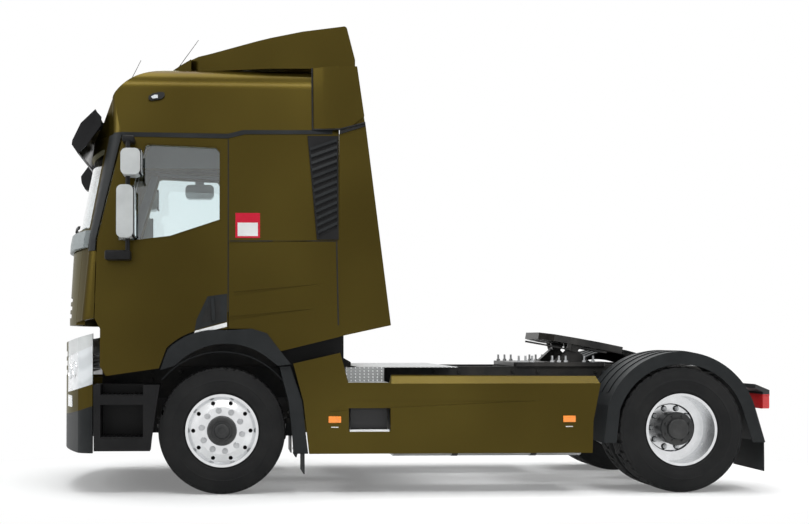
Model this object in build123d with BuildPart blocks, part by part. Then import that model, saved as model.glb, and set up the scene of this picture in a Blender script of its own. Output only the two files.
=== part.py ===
from build123d import *
import math
import os

# Two-axle cab-over road tractor with a sleeper cab, in millimetres.
# X points forward, Y to the vehicle's left and Z up. The origin is on the
# ground, midway between the two ends. Sketches are drawn on planes whose
# x is measured ahead of the front axle.

# Overall sizes
front_overhang = 1380
wheelbase = 3800
rear_overhang = 760
front_axle_x = (wheelbase + rear_overhang - front_overhang) / 2
running_gap = 6
pin_gap = 0.3
seat_gap = 0.3

# Wheels and tyres
tyre_radius = 522
tyre_width = 312
tread_width = 264
bead_width = 246
bead_radius = 290
flange_radius = 299
rim_wall = 12
front_tyre_y = 1025
rear_twin_y = 910
twin_spacing = 344
stud_circle_r = 167.5
spigot_radius = 140
hub_z = tyre_radius

# Front axle and steering
kingpin_y = 850
kingpin_r = 22
knuckle_boss_r = 48
axle_eye_height = 110
spindle_r = 45
beam_width = 100
beam_height = 95
beam_drop = 95

# Rear axle
rear_tube_r = 65
banjo_r = 225

# Ladder frame
rail_outer_y = 435
rail_flange = 78
rail_plate = 9
rail_top = 1030
rail_height = 270
rail_front = 1040
rail_rear = 80 - wheelbase - rear_overhang
cross_height = 90
cross_depth = 70

# Cab body
wall = 60
floor_bottom = 1400
floor_thickness = 50
cab_rear = -960
waist_z = 2960
roof_top = waist_z + 556
cab_pivot_x = 1005
cab_pivot_z = 1085
cab_pin_r = 20


def side_plane(y):
    return Plane(origin=(front_axle_x, y, 0), x_dir=(1, 0, 0), z_dir=(0, -1, 0))


def cross_plane(x):
    return Plane(origin=(front_axle_x + x, 0, 0), x_dir=(0, 1, 0), z_dir=(1, 0, 0))


def plan_plane(z):
    return Plane(origin=(front_axle_x, 0, z), x_dir=(1, 0, 0), z_dir=(0, 0, 1))


def keep(piece, label):
    piece.part.label = label
    export_step(piece.part, "parts/" + label + ".step")


os.makedirs("parts", exist_ok=True)

# Ladder frame: two channel rails, open inwards, with cross members, ears for the
# tilting cab's pins at the front and a rest for the cab's rear
lug_y = 395
lug_half = 20
ear_gap = 7
ear_width = 18
rest_x = -840
cross_members = [930, -1560, 1220 - wheelbase, 470 - wheelbase, -620 - wheelbase]
hanger_places = [800, -800]
hanger_length = 60
hanger_depth = 140
with BuildPart() as frame:
    with BuildSketch(cross_plane(rail_rear)):
        with BuildLine():
            Polyline(
                (rail_outer_y, rail_top), (rail_outer_y - rail_flange, rail_top),
                (rail_outer_y - rail_flange, rail_top - rail_plate),
                (rail_outer_y - rail_plate, rail_top - rail_plate),
                (rail_outer_y - rail_plate, rail_top - rail_height + rail_plate),
                (rail_outer_y - rail_flange, rail_top - rail_height + rail_plate),
                (rail_outer_y - rail_flange, rail_top - rail_height),
                (rail_outer_y, rail_top - rail_height), close=True)
        make_face()
    extrude(amount=rail_front - rail_rear)
    for place in hanger_places:
        with BuildSketch(cross_plane(place - hanger_length / 2)):
            with Locations((rail_outer_y - rail_flange / 2, rail_top - rail_height - hanger_depth / 2)):
                Rectangle(rail_flange, hanger_depth)
        extrude(amount=hanger_length)
    for low, high in ((lug_y - lug_half - ear_gap - ear_width, lug_y - lug_half - ear_gap),
                      (lug_y + lug_half + ear_gap, lug_y + lug_half + ear_gap + ear_width)):
        with BuildSketch(side_plane(high)):
            with BuildLine():
                Polyline((cab_pivot_x + 35, rail_top - 2), (cab_pivot_x + 38, cab_pivot_z),
                         (cab_pivot_x + 20, cab_pivot_z + 38), (cab_pivot_x - 20, cab_pivot_z + 38),
                         (cab_pivot_x - 38, cab_pivot_z), (cab_pivot_x - 120, rail_top - 2), close=True)
            make_face()
            with Locations((cab_pivot_x, cab_pivot_z)):
                Circle(cab_pin_r + pin_gap, mode=Mode.SUBTRACT)
        extrude(amount=high - low)
    with BuildSketch(plan_plane(rail_top - 2)):
        with Locations((rest_x, rail_outer_y - rail_flange / 2)):
            Rectangle(80, rail_flange)
    extrude(amount=floor_bottom - seat_gap - rail_top + 2)
    with BuildSketch(side_plane(rail_outer_y - 10)):
        with BuildLine():
            Polyline((rest_x + 30, rail_top - 2), (-1132, rail_top - 2), (-1132, 1068), (-1060, 1110), (-1060, 1280),
                     (-1000, 1280), (-1000, 1120), (rest_x + 30, 1120), close=True)
        make_face()
    extrude(amount=rail_flange - 20)
    mirror(about=Plane.XZ)
    with BuildSketch(cross_plane(rest_x - 35)):
        with Locations((0, floor_bottom - 105)):
            Rectangle(2 * rail_outer_y - rail_flange, 90)
    extrude(amount=70)
    for place in cross_members:
        with BuildSketch(cross_plane(place - cross_depth / 2)):
            with Locations((0, rail_top - rail_plate - cross_height / 2)):
                Rectangle(2 * (rail_outer_y - rail_plate), cross_height)
        extrude(amount=cross_depth)
keep(frame, "frame")

# Front axle: forged beam with a low middle and an eye at each end for the kingpin
spring_seat_y = rail_outer_y - rail_flange / 2
with BuildPart() as front_axle:
    with BuildSketch(cross_plane(-beam_width / 2)):
        with BuildLine():
            Polyline(
                (kingpin_y, hub_z - beam_height / 2), (kingpin_y, hub_z + beam_height / 2),
                (spring_seat_y + 190, hub_z + beam_height / 2 - 20),
                (spring_seat_y + 70, hub_z - beam_drop + beam_height / 2),
                (-spring_seat_y - 70, hub_z - beam_drop + beam_height / 2),
                (-spring_seat_y - 190, hub_z + beam_height / 2 - 20),
                (-kingpin_y, hub_z + beam_height / 2), (-kingpin_y, hub_z - beam_height / 2),
                (-spring_seat_y - 150, hub_z - beam_height / 2 - 30),
                (-spring_seat_y - 40, hub_z - beam_drop - beam_height / 2),
                (spring_seat_y + 40, hub_z - beam_drop - beam_height / 2),
                (spring_seat_y + 150, hub_z - beam_height / 2 - 30), close=True)
        make_face()
    extrude(amount=beam_width)
    for side in (1, -1):
        with BuildSketch(plan_plane(hub_z - axle_eye_height / 2)):
            with Locations((0, side * kingpin_y)):
                Circle(knuckle_boss_r)
        extrude(amount=axle_eye_height)
        with BuildSketch(plan_plane(hub_z - axle_eye_height)):
            with Locations((0, side * kingpin_y)):
                Circle(kingpin_r + pin_gap)
        extrude(amount=2 * axle_eye_height, mode=Mode.SUBTRACT)
keep(front_axle, "front_axle")

# Steering knuckle: fork round the axle eye, kingpin and wheel spindle in one forging
lug_height = 40
fork_gap = 1
fork_back = 30
spindle_end = front_tyre_y + 25
knuckle_reach = knuckle_boss_r + running_gap
with BuildPart() as knuckle_left:
    for low in (hub_z + axle_eye_height / 2 + fork_gap, hub_z - axle_eye_height / 2 - fork_gap - lug_height):
        with BuildSketch(plan_plane(low)):
            with Locations((0, kingpin_y)):
                Circle(knuckle_boss_r)
            with Locations((0, kingpin_y + knuckle_reach / 2)):
                Rectangle(2 * knuckle_boss_r, knuckle_reach)
        extrude(amount=lug_height)
    with BuildSketch(plan_plane(hub_z - axle_eye_height / 2 - fork_gap)):
        with Locations((0, kingpin_y)):
            Circle(kingpin_r)
    extrude(amount=axle_eye_height + 2 * fork_gap)
    with BuildSketch(plan_plane(hub_z - axle_eye_height / 2 - fork_gap - lug_height)):
        with Locations((0, kingpin_y + knuckle_reach + fork_back / 2)):
            Rectangle(2 * knuckle_boss_r, fork_back)
    extrude(amount=axle_eye_height + 2 * fork_gap + 2 * lug_height)
    with BuildSketch(side_plane(spindle_end)):
        with Locations((0, hub_z)):
            Circle(spindle_r)
    extrude(amount=spindle_end - kingpin_y - knuckle_reach)
keep(knuckle_left, "knuckle_left")
with BuildPart() as knuckle_right:
    mirror(knuckle_left.part, about=Plane.XZ)
keep(knuckle_right, "knuckle_right")


# A tyre's section turned about the axle; the sidewalls bulge past the bead
def tyre_section(center_y, axle_x):
    bead_half = bead_width / 2 - pin_gap
    with BuildSketch(cross_plane(axle_x)) as section:
        with BuildLine():
            Polyline((center_y - bead_half, hub_z + flange_radius + 2), (center_y - bead_half, hub_z + bead_radius),
                     (center_y + bead_half, hub_z + bead_radius), (center_y + bead_half, hub_z + flange_radius + 2))
            ThreePointArc((center_y + bead_half, hub_z + flange_radius + 2),
                          (center_y + tyre_width / 2, hub_z + (bead_radius + tyre_radius) / 2 - 12),
                          (center_y + tread_width / 2, hub_z + tyre_radius - 12))
            Polyline((center_y + tread_width / 2, hub_z + tyre_radius - 12),
                     (center_y + tread_width / 2 - 24, hub_z + tyre_radius),
                     (center_y - tread_width / 2 + 24, hub_z + tyre_radius),
                     (center_y - tread_width / 2, hub_z + tyre_radius - 12))
            ThreePointArc((center_y - tread_width / 2, hub_z + tyre_radius - 12),
                          (center_y - tyre_width / 2, hub_z + (bead_radius + tyre_radius) / 2 - 12),
                          (center_y - bead_half, hub_z + flange_radius + 2))
        make_face()
    return section.sketch


front_axle_axis = Axis((front_axle_x, 0, hub_z), (0, 1, 0))
with BuildPart() as tyre_front_left:
    revolve(tyre_section(front_tyre_y, 0), axis=front_axle_axis)
keep(tyre_front_left, "tyre_front_left")
with BuildPart() as tyre_front_right:
    mirror(tyre_front_left.part, about=Plane.XZ)
keep(tyre_front_right, "tyre_front_right")
rear_axle_axis = Axis((front_axle_x - wheelbase, 0, hub_z), (0, 1, 0))
with BuildPart() as tyres_rear_left:
    for row in (-1, 1):
        revolve(tyre_section(rear_twin_y + row * twin_spacing / 2, -wheelbase), axis=rear_axle_axis)
keep(tyres_rear_left, "tyres_rear_left")
with BuildPart() as tyres_rear_right:
    mirror(tyres_rear_left.part, about=Plane.XZ)
keep(tyres_rear_right, "tyres_rear_right")

# Front wheel: forged rim with a convex disc, hub and brake disc, bored for the spindle
rim_half = bead_width / 2
front_face_y = front_tyre_y + rim_half + 18
disc_thickness = 22
hub_cap_r = 118
hub_cap_y = front_face_y + 42
hub_back_y = kingpin_y + knuckle_reach + fork_back + running_gap
brake_disc_r = 215
brake_disc_width = 45
hand_hole_r = 17
hand_hole_circle = 234
hand_holes = 10
with BuildPart() as rim_front_left:
    with BuildSketch(cross_plane(0)):
        with BuildLine():
            Polyline(
                (front_tyre_y - rim_half - 14, hub_z + flange_radius - 1),
                (front_tyre_y - rim_half, hub_z + flange_radius - 1),
                (front_tyre_y - rim_half, hub_z + bead_radius - pin_gap),
                (front_tyre_y + rim_half, hub_z + bead_radius - pin_gap),
                (front_tyre_y + rim_half, hub_z + flange_radius),
                (front_tyre_y + rim_half + 14, hub_z + flange_radius),
                (front_tyre_y + rim_half + 14, hub_z + bead_radius - rim_wall),
                (front_face_y - 28, hub_z + hand_hole_circle + 24),
                (front_face_y, hub_z + stud_circle_r + 28),
                (front_face_y, hub_z + hub_cap_r),
                (hub_cap_y, hub_z + hub_cap_r - 6),
                (hub_cap_y, hub_z),
                (spindle_end + pin_gap, hub_z),
                (spindle_end + pin_gap, hub_z + spindle_r + pin_gap),
                (hub_back_y, hub_z + spindle_r + pin_gap),
                (hub_back_y, hub_z + brake_disc_r),
                (hub_back_y + brake_disc_width, hub_z + brake_disc_r),
                (hub_back_y + brake_disc_width, hub_z + spigot_radius - 20),
                (front_face_y - disc_thickness, hub_z + spigot_radius - 20),
                (front_face_y - disc_thickness, hub_z + stud_circle_r + 22),
                (front_face_y - 28 - disc_thickness, hub_z + hand_hole_circle + 20),
                (front_face_y - 60, hub_z + bead_radius - rim_wall),
                (front_tyre_y - rim_half - 14, hub_z + bead_radius - rim_wall), close=True)
        make_face()
    revolve(axis=front_axle_axis)
    with BuildSketch(side_plane(hub_cap_y)):
        with Locations((0, hub_z)):
            with PolarLocations(hand_hole_circle, hand_holes):
                Circle(hand_hole_r)
    extrude(amount=hub_cap_y - front_tyre_y - 30, mode=Mode.SUBTRACT)
keep(rim_front_left, "rim_front_left")
with BuildPart() as rim_front_right:
    mirror(rim_front_left.part, about=Plane.XZ)
keep(rim_front_right, "rim_front_right")

# Rear twin wheel: two rims back to back on one dished disc, hub and brake drum
outer_y = rear_twin_y + twin_spacing / 2
inner_y = rear_twin_y - twin_spacing / 2
rear_disc_half = 24
rear_hub_r = 132
rear_hub_end = outer_y + 30
rear_spindle_r = 55
rear_spindle_end = rear_hub_end - 60
rear_hub_back = inner_y + 10
rear_hole_r = 30
rear_holes = 10
rear_barrel = bead_radius - rim_wall
with BuildPart() as rims_rear_left:
    with BuildSketch(cross_plane(-wheelbase)):
        with BuildLine():
            Polyline(
                (inner_y - rim_half - 14, hub_z + flange_radius - 1),
                (inner_y - rim_half, hub_z + flange_radius - 1),
                (inner_y - rim_half, hub_z + bead_radius - pin_gap),
                (inner_y + rim_half, hub_z + bead_radius - pin_gap),
                (inner_y + rim_half, hub_z + flange_radius - 1),
                (inner_y + rim_half + 14, hub_z + flange_radius - 1),
                (inner_y + rim_half + 14, hub_z + rear_barrel - 10),
                (rear_twin_y - rear_disc_half, hub_z + stud_circle_r + 60),
                (rear_twin_y - rear_disc_half, hub_z + stud_circle_r + 50),
                (rear_twin_y + rear_disc_half, hub_z + stud_circle_r + 50),
                (rear_twin_y + rear_disc_half, hub_z + stud_circle_r + 60),
                (outer_y - rim_half - 14, hub_z + rear_barrel - 10),
                (outer_y - rim_half - 14, hub_z + flange_radius - 1),
                (outer_y - rim_half, hub_z + flange_radius - 1),
                (outer_y - rim_half, hub_z + bead_radius - pin_gap),
                (outer_y + rim_half, hub_z + bead_radius - pin_gap),
                (outer_y + rim_half, hub_z + flange_radius),
                (outer_y + rim_half + 14, hub_z + flange_radius),
                (outer_y + rim_half + 14, hub_z + rear_barrel),
                (outer_y - rim_half + 6, hub_z + rear_barrel),
                (rear_twin_y + rear_disc_half + 22, hub_z + stud_circle_r + 36),
                (rear_twin_y + rear_disc_half, hub_z + stud_circle_r + 26),
                (rear_twin_y + rear_disc_half, hub_z + rear_hub_r),
                (rear_hub_end, hub_z + rear_hub_r - 6),
                (rear_hub_end, hub_z),
                (rear_spindle_end + pin_gap, hub_z),
                (rear_spindle_end + pin_gap, hub_z + rear_spindle_r + pin_gap),
                (rear_hub_back, hub_z + rear_spindle_r + pin_gap),
                (rear_hub_back, hub_z + brake_disc_r),
                (rear_hub_back + brake_disc_width, hub_z + brake_disc_r),
                (rear_hub_back + brake_disc_width, hub_z + spigot_radius - 20),
                (rear_twin_y - rear_disc_half, hub_z + spigot_radius - 20),
                (rear_twin_y - rear_disc_half, hub_z + stud_circle_r + 26),
                (rear_twin_y - rear_disc_half - 22, hub_z + stud_circle_r + 36),
                (inner_y + rim_half - 6, hub_z + rear_barrel),
                (inner_y - rim_half - 14, hub_z + rear_barrel), close=True)
        make_face()
    revolve(axis=rear_axle_axis)
keep(rims_rear_left, "rims_rear_left")
with BuildPart() as rims_rear_right:
    mirror(rims_rear_left.part, about=Plane.XZ)
keep(rims_rear_right, "rims_rear_right")

# Rear axle: tube with a round differential housing, pinion nose and wheel spindles
rear_tube_end = rear_hub_back - running_gap
banjo_half = 230
banjo_shoulder = 150
banjo_shoulder_r = 165
banjo_flat = 60
pinion_x = 135
pinion_r = 115
pinion_tip_r = 62
pinion_length = 230
with BuildPart() as rear_axle:
    for end_y, radius in ((rear_spindle_end, rear_spindle_r), (rear_tube_end, rear_tube_r)):
        with BuildSketch(side_plane(end_y)):
            with Locations((-wheelbase, hub_z)):
                Circle(radius)
        extrude(amount=2 * end_y)
    with BuildSketch(cross_plane(-wheelbase)):
        with BuildLine():
            Polyline((-banjo_half, hub_z), (-banjo_half, hub_z + rear_tube_r - 5),
                     (-banjo_shoulder, hub_z + banjo_shoulder_r), (-banjo_flat, hub_z + banjo_r),
                     (banjo_flat, hub_z + banjo_r), (banjo_shoulder, hub_z + banjo_shoulder_r),
                     (banjo_half, hub_z + rear_tube_r - 5), (banjo_half, hub_z), close=True)
        make_face()
    revolve(axis=rear_axle_axis)
    with BuildSketch(side_plane(0)):
        with BuildLine():
            Polyline((-wheelbase + pinion_x, hub_z), (-wheelbase + pinion_x, hub_z + pinion_r),
                     (-wheelbase + pinion_x + pinion_length, hub_z + pinion_tip_r),
                     (-wheelbase + pinion_x + pinion_length, hub_z), close=True)
        make_face()
    revolve(axis=Axis((front_axle_x, 0, hub_z), (1, 0, 0)))
keep(rear_axle, "rear_axle")

# Suspension: a bowed leaf pack under each rail at the front, from hanger to hanger; at the
# rear a bearer under each side of the axle with an air bellows at each end
spring_half = hanger_places[0]
spring_low = hub_z - beam_drop + beam_height / 2
spring_end_z = rail_top - rail_height - hanger_depth
spring_thickness = 62
spring_tip = 30
bearer_half = 480
bearer_height = 60
bearer_width = 80
bellows_r = 105
bellows_inset = 105
with BuildPart() as suspension:
    with BuildSketch(side_plane(rail_outer_y)):
        with BuildLine():
            ThreePointArc((-spring_half, spring_end_z - spring_tip), (0, spring_low),
                          (spring_half, spring_end_z - spring_tip))
            Line((spring_half, spring_end_z - spring_tip), (spring_half, spring_end_z))
            ThreePointArc((spring_half, spring_end_z), (0, spring_low + spring_thickness),
                          (-spring_half, spring_end_z))
            Line((-spring_half, spring_end_z), (-spring_half, spring_end_z - spring_tip))
        make_face()
    extrude(amount=rail_flange)
    with BuildSketch(side_plane(spring_seat_y + bearer_width / 2)):
        with Locations((-wheelbase, hub_z - rear_tube_r - bearer_height / 2)):
            Rectangle(2 * bearer_half, bearer_height)
    extrude(amount=bearer_width)
    for end in (1, -1):
        with BuildSketch(plan_plane(hub_z - rear_tube_r)):
            with Locations((-wheelbase + end * (bearer_half - bellows_inset), spring_seat_y)):
                Circle(bellows_r)
        extrude(amount=rail_top - rail_height - hub_z + rear_tube_r)
    mirror(about=Plane.XZ)
keep(suspension, "suspension")

# Powertrain: engine with its four mounts on the rails' flanges, gearbox, propeller shaft, and the
# radiator ahead of it between the rails
engine_half = 300
engine_profile = [(690, 640), (690, 1290), (640, 1330), (-520, 1330), (-600, 1250), (-600, 640), (-450, 560),
                  (500, 560)]
mount_places = [420, -480]
mount_size = (120, 40)
gearbox_half = 210
gearbox_profile = [(-599, 600), (-599, 900), (-900, 890), (-1330, 810), (-1330, 660), (-900, 600)]
shaft_r = 55
shaft_start = (-1330, 740)
shaft_end = (-wheelbase + pinion_x + pinion_length, hub_z)
radiator_x = 790
radiator_z = 975
radiator_size = (120, 700)
flange_edge_y = rail_outer_y - rail_flange
with BuildPart() as powertrain:
    with BuildSketch(side_plane(engine_half)):
        with BuildLine():
            Polyline(*engine_profile, close=True)
        make_face()
    extrude(amount=2 * engine_half)
    for place in mount_places:
        with BuildSketch(side_plane(flange_edge_y - seat_gap)):
            with Locations((place, rail_top - rail_height + mount_size[1] / 2)):
                Rectangle(*mount_size)
        extrude(amount=2 * (flange_edge_y - seat_gap))
    with BuildSketch(side_plane(gearbox_half)):
        with BuildLine():
            Polyline(*gearbox_profile, close=True)
        make_face()
    extrude(amount=2 * gearbox_half)
    with BuildSketch(Plane(
            origin=(front_axle_x + shaft_start[0], 0, shaft_start[1]), x_dir=(0, 1, 0),
            z_dir=(shaft_end[0] - shaft_start[0], 0, shaft_end[1] - shaft_start[1]))):
        Circle(shaft_r)
    extrude(amount=math.dist(shaft_start, shaft_end) - running_gap)
    with BuildSketch(side_plane(flange_edge_y - seat_gap)):
        with Locations((radiator_x, radiator_z)):
            Rectangle(*radiator_size)
    extrude(amount=2 * (flange_edge_y - seat_gap))
keep(powertrain, "powertrain")

# Space that a steered front wheel sweeps about its kingpin, with room to spare
sweep_profile = [
    # radius, height
    (0, -16), (343, -16), (462, 88), (545, 188), (605, 330), (632, 460), (632, 584), (605, 714), (545, 856),
    (462, 956), (343, 1060), (0, 1060)]
with BuildPart() as wheel_sweep:
    with BuildSketch(Plane(origin=(front_axle_x, kingpin_y, 0), x_dir=(1, 0, 0), z_dir=(0, -1, 0))):
        with BuildLine():
            Polyline(*sweep_profile, close=True)
        make_face()
    revolve(axis=Axis((front_axle_x, kingpin_y, 0), (0, 0, 1)))

# Cab walls: plan outlines at four heights, joined straight, with the crowned
# front and rounded corners that the doors, the front flap and the windscreen share
cab_levels = [
    # height, front, corner ahead, corner out, side starts at, side out
    (940, 1352, 1150, 1110, 1000, 1232),
    (1450, 1352, 1150, 1110, 1000, 1232),
    (2090, 1318, 1085, 1110, 975, 1224),
    (waist_z, 1150, 905, 1080, 790, 1196)]


def plan_outline(z, front, corner_x, corner_y, side_x, side_y, rear, inset):
    blend = 0.72
    mid_x = side_x + (corner_x - side_x) * blend
    mid_y = corner_y + (side_y - corner_y) * blend
    with BuildSketch(plan_plane(z)) as outline:
        with BuildLine():
            ThreePointArc((corner_x - inset, -corner_y + inset * 0.7), (front - inset, 0),
                          (corner_x - inset, corner_y - inset * 0.7))
            ThreePointArc((corner_x - inset, corner_y - inset * 0.7), (mid_x - inset * 0.8, mid_y - inset * 0.8),
                          (side_x - inset * 0.6, side_y - inset))
            Polyline((side_x - inset * 0.6, side_y - inset), (rear + inset, side_y - inset),
                     (rear + inset, -side_y + inset), (side_x - inset * 0.6, -side_y + inset))
            ThreePointArc((side_x - inset * 0.6, -side_y + inset), (mid_x - inset * 0.8, -mid_y + inset * 0.8),
                          (corner_x - inset, -corner_y + inset * 0.7))
        make_face()
    return outline.sketch


def cab_form(inset):
    sections = []
    for z, front, corner_x, corner_y, side_x, side_y in cab_levels:
        sections.append(plan_outline(z, front, corner_x, corner_y, side_x, side_y, cab_rear, inset))
    with BuildPart() as form:
        loft(sections, ruled=True)
    return form.part


cab_outside = cab_form(0)
cab_inside = cab_form(wall)
with BuildPart() as cab_walls:
    add(cab_outside)
    add(cab_inside, mode=Mode.SUBTRACT)


# Side outlines: the door with its lower panel, and its window
door_front_top = (809, waist_z - 26)
door_rear = -46
arch_top = 1354
arch_edge = [(-40, arch_top + 2), (-244, 1356), (-366, 1318), (-477, 1172)]


def door_outline(grow):
    with BuildSketch(side_plane(1400)) as outline:
        with BuildLine():
            Polyline((door_rear, arch_top), (door_rear, door_front_top[1]), door_front_top, (1016, 2080),
                     (1033, 1440), (988, 1356), (988, 1050), (939, 973), (512, 1034), (450, 1200))
            ThreePointArc((450, 1200), (330, 1290), (0, arch_top - 2))
            Line((0, arch_top - 2), (door_rear, arch_top))
        make_face()
        if grow:
            offset(amount=grow, kind=Kind.INTERSECTION)
    return outline.sketch


def window_outline(grow):
    with BuildSketch(side_plane(1400)) as outline:
        with BuildLine():
            Polyline((595, waist_z - 100), (50, waist_z - 125), (22, waist_z - 160), (22, 2247), (425, 2112),
                     (766, 2070), (840, 2075), (845, 2100), (625, waist_z - 110), close=True)
        make_face()
        if grow:
            offset(amount=grow, kind=Kind.INTERSECTION)
    return outline.sketch


# Windscreen opening, as seen from the front
screen_low = 2190
screen_high = waist_z - 110
screen_half_low = 1075
screen_half_high = 1020
flap_low = 1388
flap_high = 2010
flap_half = 930


def front_outline(low, high, half_low, half_high, grow):
    with BuildSketch(cross_plane(1500)) as outline:
        with BuildLine():
            Polyline((-half_low, low), (half_low, low), (half_high, high), (-half_high, high), close=True)
        make_face()
        if grow:
            offset(amount=grow, kind=Kind.INTERSECTION)
    return outline.sketch


# Cab shell: walls with the two doorways, the flap and windscreen openings, floor and bulkhead
side_folds = [
    [(-53, 2052), (-53, 2059), (-800, 2078), (-800, 2071)],
    [(-100, 1625), (-100, 1658), (-800, 1722)],
    [(-60, 1422), (-60, 1456), (-766, 1520)]]
fold_floor_y = 1216
bulkhead_x = 1050
bulkhead_thickness = 25
bulkhead_half = 1080
bulkhead_top = flap_high + 40
floor_half = 1150
floor_front = 960
toe_z = floor_bottom + 100
toe_line = [(bulkhead_x - bulkhead_thickness, toe_z + 12), (floor_front - 10, floor_bottom + floor_thickness)]
screen_rebate = 25
with BuildPart() as cab_shell:
    add(cab_walls.part)
    extrude(door_outline(running_gap), amount=300, mode=Mode.SUBTRACT)
    for fold in side_folds:
        with BuildSketch(side_plane(1300)):
            with BuildLine():
                Polyline(*fold, close=True)
            make_face()
        extrude(amount=1300 - fold_floor_y, mode=Mode.SUBTRACT)
    mirror(about=Plane.XZ, mode=Mode.INTERSECT)
    extrude(front_outline(flap_low - 200, flap_high, flap_half, flap_half, running_gap), amount=-500,
            mode=Mode.SUBTRACT)
    extrude(front_outline(screen_low, screen_high, screen_half_low - 40, screen_half_high - 40, 0), amount=-900,
            mode=Mode.SUBTRACT)
    with BuildSketch(side_plane(1500)):
        with BuildLine():
            Polyline((1600, 900), (1600, 1335), (1040, 1440), (-40, 1440), *arch_edge, (-961, 1290),
                     (-1100, 1290), (-1100, 900), close=True)
        make_face()
    extrude(amount=3000, mode=Mode.SUBTRACT)
    for floor_end, half in ((floor_front, floor_half), (door_rear - running_gap - seat_gap, floor_half + 30)):
        with BuildSketch(plan_plane(floor_bottom)):
            with Locations(((floor_end + cab_rear + wall) / 2, 0)):
                Rectangle(floor_end - cab_rear - wall, 2 * half)
        extrude(amount=floor_thickness)
    with BuildSketch(side_plane(bulkhead_half)):
        with BuildLine():
            Polyline((floor_front - 20, floor_bottom), (floor_front, floor_bottom), (bulkhead_x, toe_z),
                     (bulkhead_x, bulkhead_top), (bulkhead_x - bulkhead_thickness, bulkhead_top),
                     *toe_line, (floor_front - 20, floor_bottom + floor_thickness), close=True)
        make_face()
    extrude(amount=2 * bulkhead_half)
    for side in (1, -1):
        with BuildSketch(side_plane(side * lug_y + lug_half)):
            with BuildLine():
                Polyline((cab_pivot_x - 19, floor_bottom + 34), (cab_pivot_x + 30, cab_pivot_z))
                ThreePointArc((cab_pivot_x + 30, cab_pivot_z), (cab_pivot_x, cab_pivot_z - 30),
                              (cab_pivot_x - 30, cab_pivot_z))
                Polyline((cab_pivot_x - 30, cab_pivot_z), (cab_pivot_x - 75, floor_bottom + 5),
                         (cab_pivot_x - 19, floor_bottom + 34))
            make_face()
        extrude(amount=2 * lug_half)
        with BuildSketch(side_plane(side * lug_y + lug_half + ear_gap + ear_width)):
            with Locations((cab_pivot_x, cab_pivot_z)):
                Circle(cab_pin_r)
        extrude(amount=2 * (lug_half + ear_gap + ear_width))
keep(cab_shell, "cab_shell")

# Doors: cut from the same walls, with the window opening and two hinge leaves on the front edge
leaf_places = [1600, 1940]
leaf_height = 80
leaf_y = (1215, 1190)
with BuildPart() as hinge_leaves:
    for place in leaf_places:
        with BuildSketch(side_plane(leaf_y[0])):
            with Locations((1010, place)):
                Rectangle(80, leaf_height)
        extrude(amount=leaf_y[0] - leaf_y[1])
    extrude(door_outline(running_gap - seat_gap), amount=400, mode=Mode.INTERSECT)
with BuildPart() as door_left:
    add(cab_walls.part)
    extrude(door_outline(0), amount=400, mode=Mode.INTERSECT)
    add(hinge_leaves.part)
    extrude(window_outline(0), amount=400, mode=Mode.SUBTRACT)
keep(door_left, "door_left")
with BuildPart() as door_right:
    mirror(door_left.part, about=Plane.XZ)
keep(door_right, "door_right")

# Door glass: one curved pane in each window, at the middle of the door's wall
glass = 6
glass_depth = 28
pane_outside = cab_form(glass_depth)
pane_inside = cab_form(glass_depth + glass)
with BuildPart() as cab_panes:
    add(pane_outside)
    add(pane_inside, mode=Mode.SUBTRACT)
with BuildPart() as door_glass_left:
    add(cab_panes.part)
    extrude(window_outline(0), amount=400, mode=Mode.INTERSECT)
keep(door_glass_left, "door_glass_left")
with BuildPart() as door_glass_right:
    mirror(door_glass_left.part, about=Plane.XZ)
keep(door_glass_right, "door_glass_right")

# Windscreen: a curved pane in the front opening
with BuildPart() as windscreen:
    add(cab_panes.part)
    extrude(front_outline(screen_low, screen_high, screen_half_low - 40, screen_half_high - 40, 0), amount=-900,
            mode=Mode.INTERSECT)
keep(windscreen, "windscreen")

# Front flap: the painted service panel under the windscreen
flap_slots = [1470, 1540, 1610]
flap_slot_half = 640
flap_slot_opening = 40
flap_leaf_y = 500
flap_leaf_width = 90
flap_leaf_height = 30
flap_leaf_depth = 36
with BuildPart() as flap_leaves:
    with BuildSketch(cross_plane(1500)):
        for side in (1, -1):
            with Locations((side * flap_leaf_y, flap_high + running_gap - seat_gap - flap_leaf_height / 2)):
                Rectangle(flap_leaf_width, flap_leaf_height)
    extrude(amount=-500)
    add(cab_form(flap_leaf_depth), mode=Mode.INTERSECT)
    add(cab_inside, mode=Mode.SUBTRACT)
with BuildPart() as front_flap:
    add(cab_walls.part)
    extrude(front_outline(flap_low, flap_high, flap_half, flap_half, 0), amount=-500, mode=Mode.INTERSECT)
    with BuildSketch(cross_plane(1500)):
        for z in flap_slots:
            with Locations((0, z)):
                Rectangle(2 * flap_slot_half, flap_slot_opening)
    extrude(amount=-500, mode=Mode.SUBTRACT)
    add(flap_leaves.part)
keep(front_flap, "front_flap")

# High roof: a side outline crossed with a front outline and a plan outline, hollow and open below
roof_wall = 45


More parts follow.
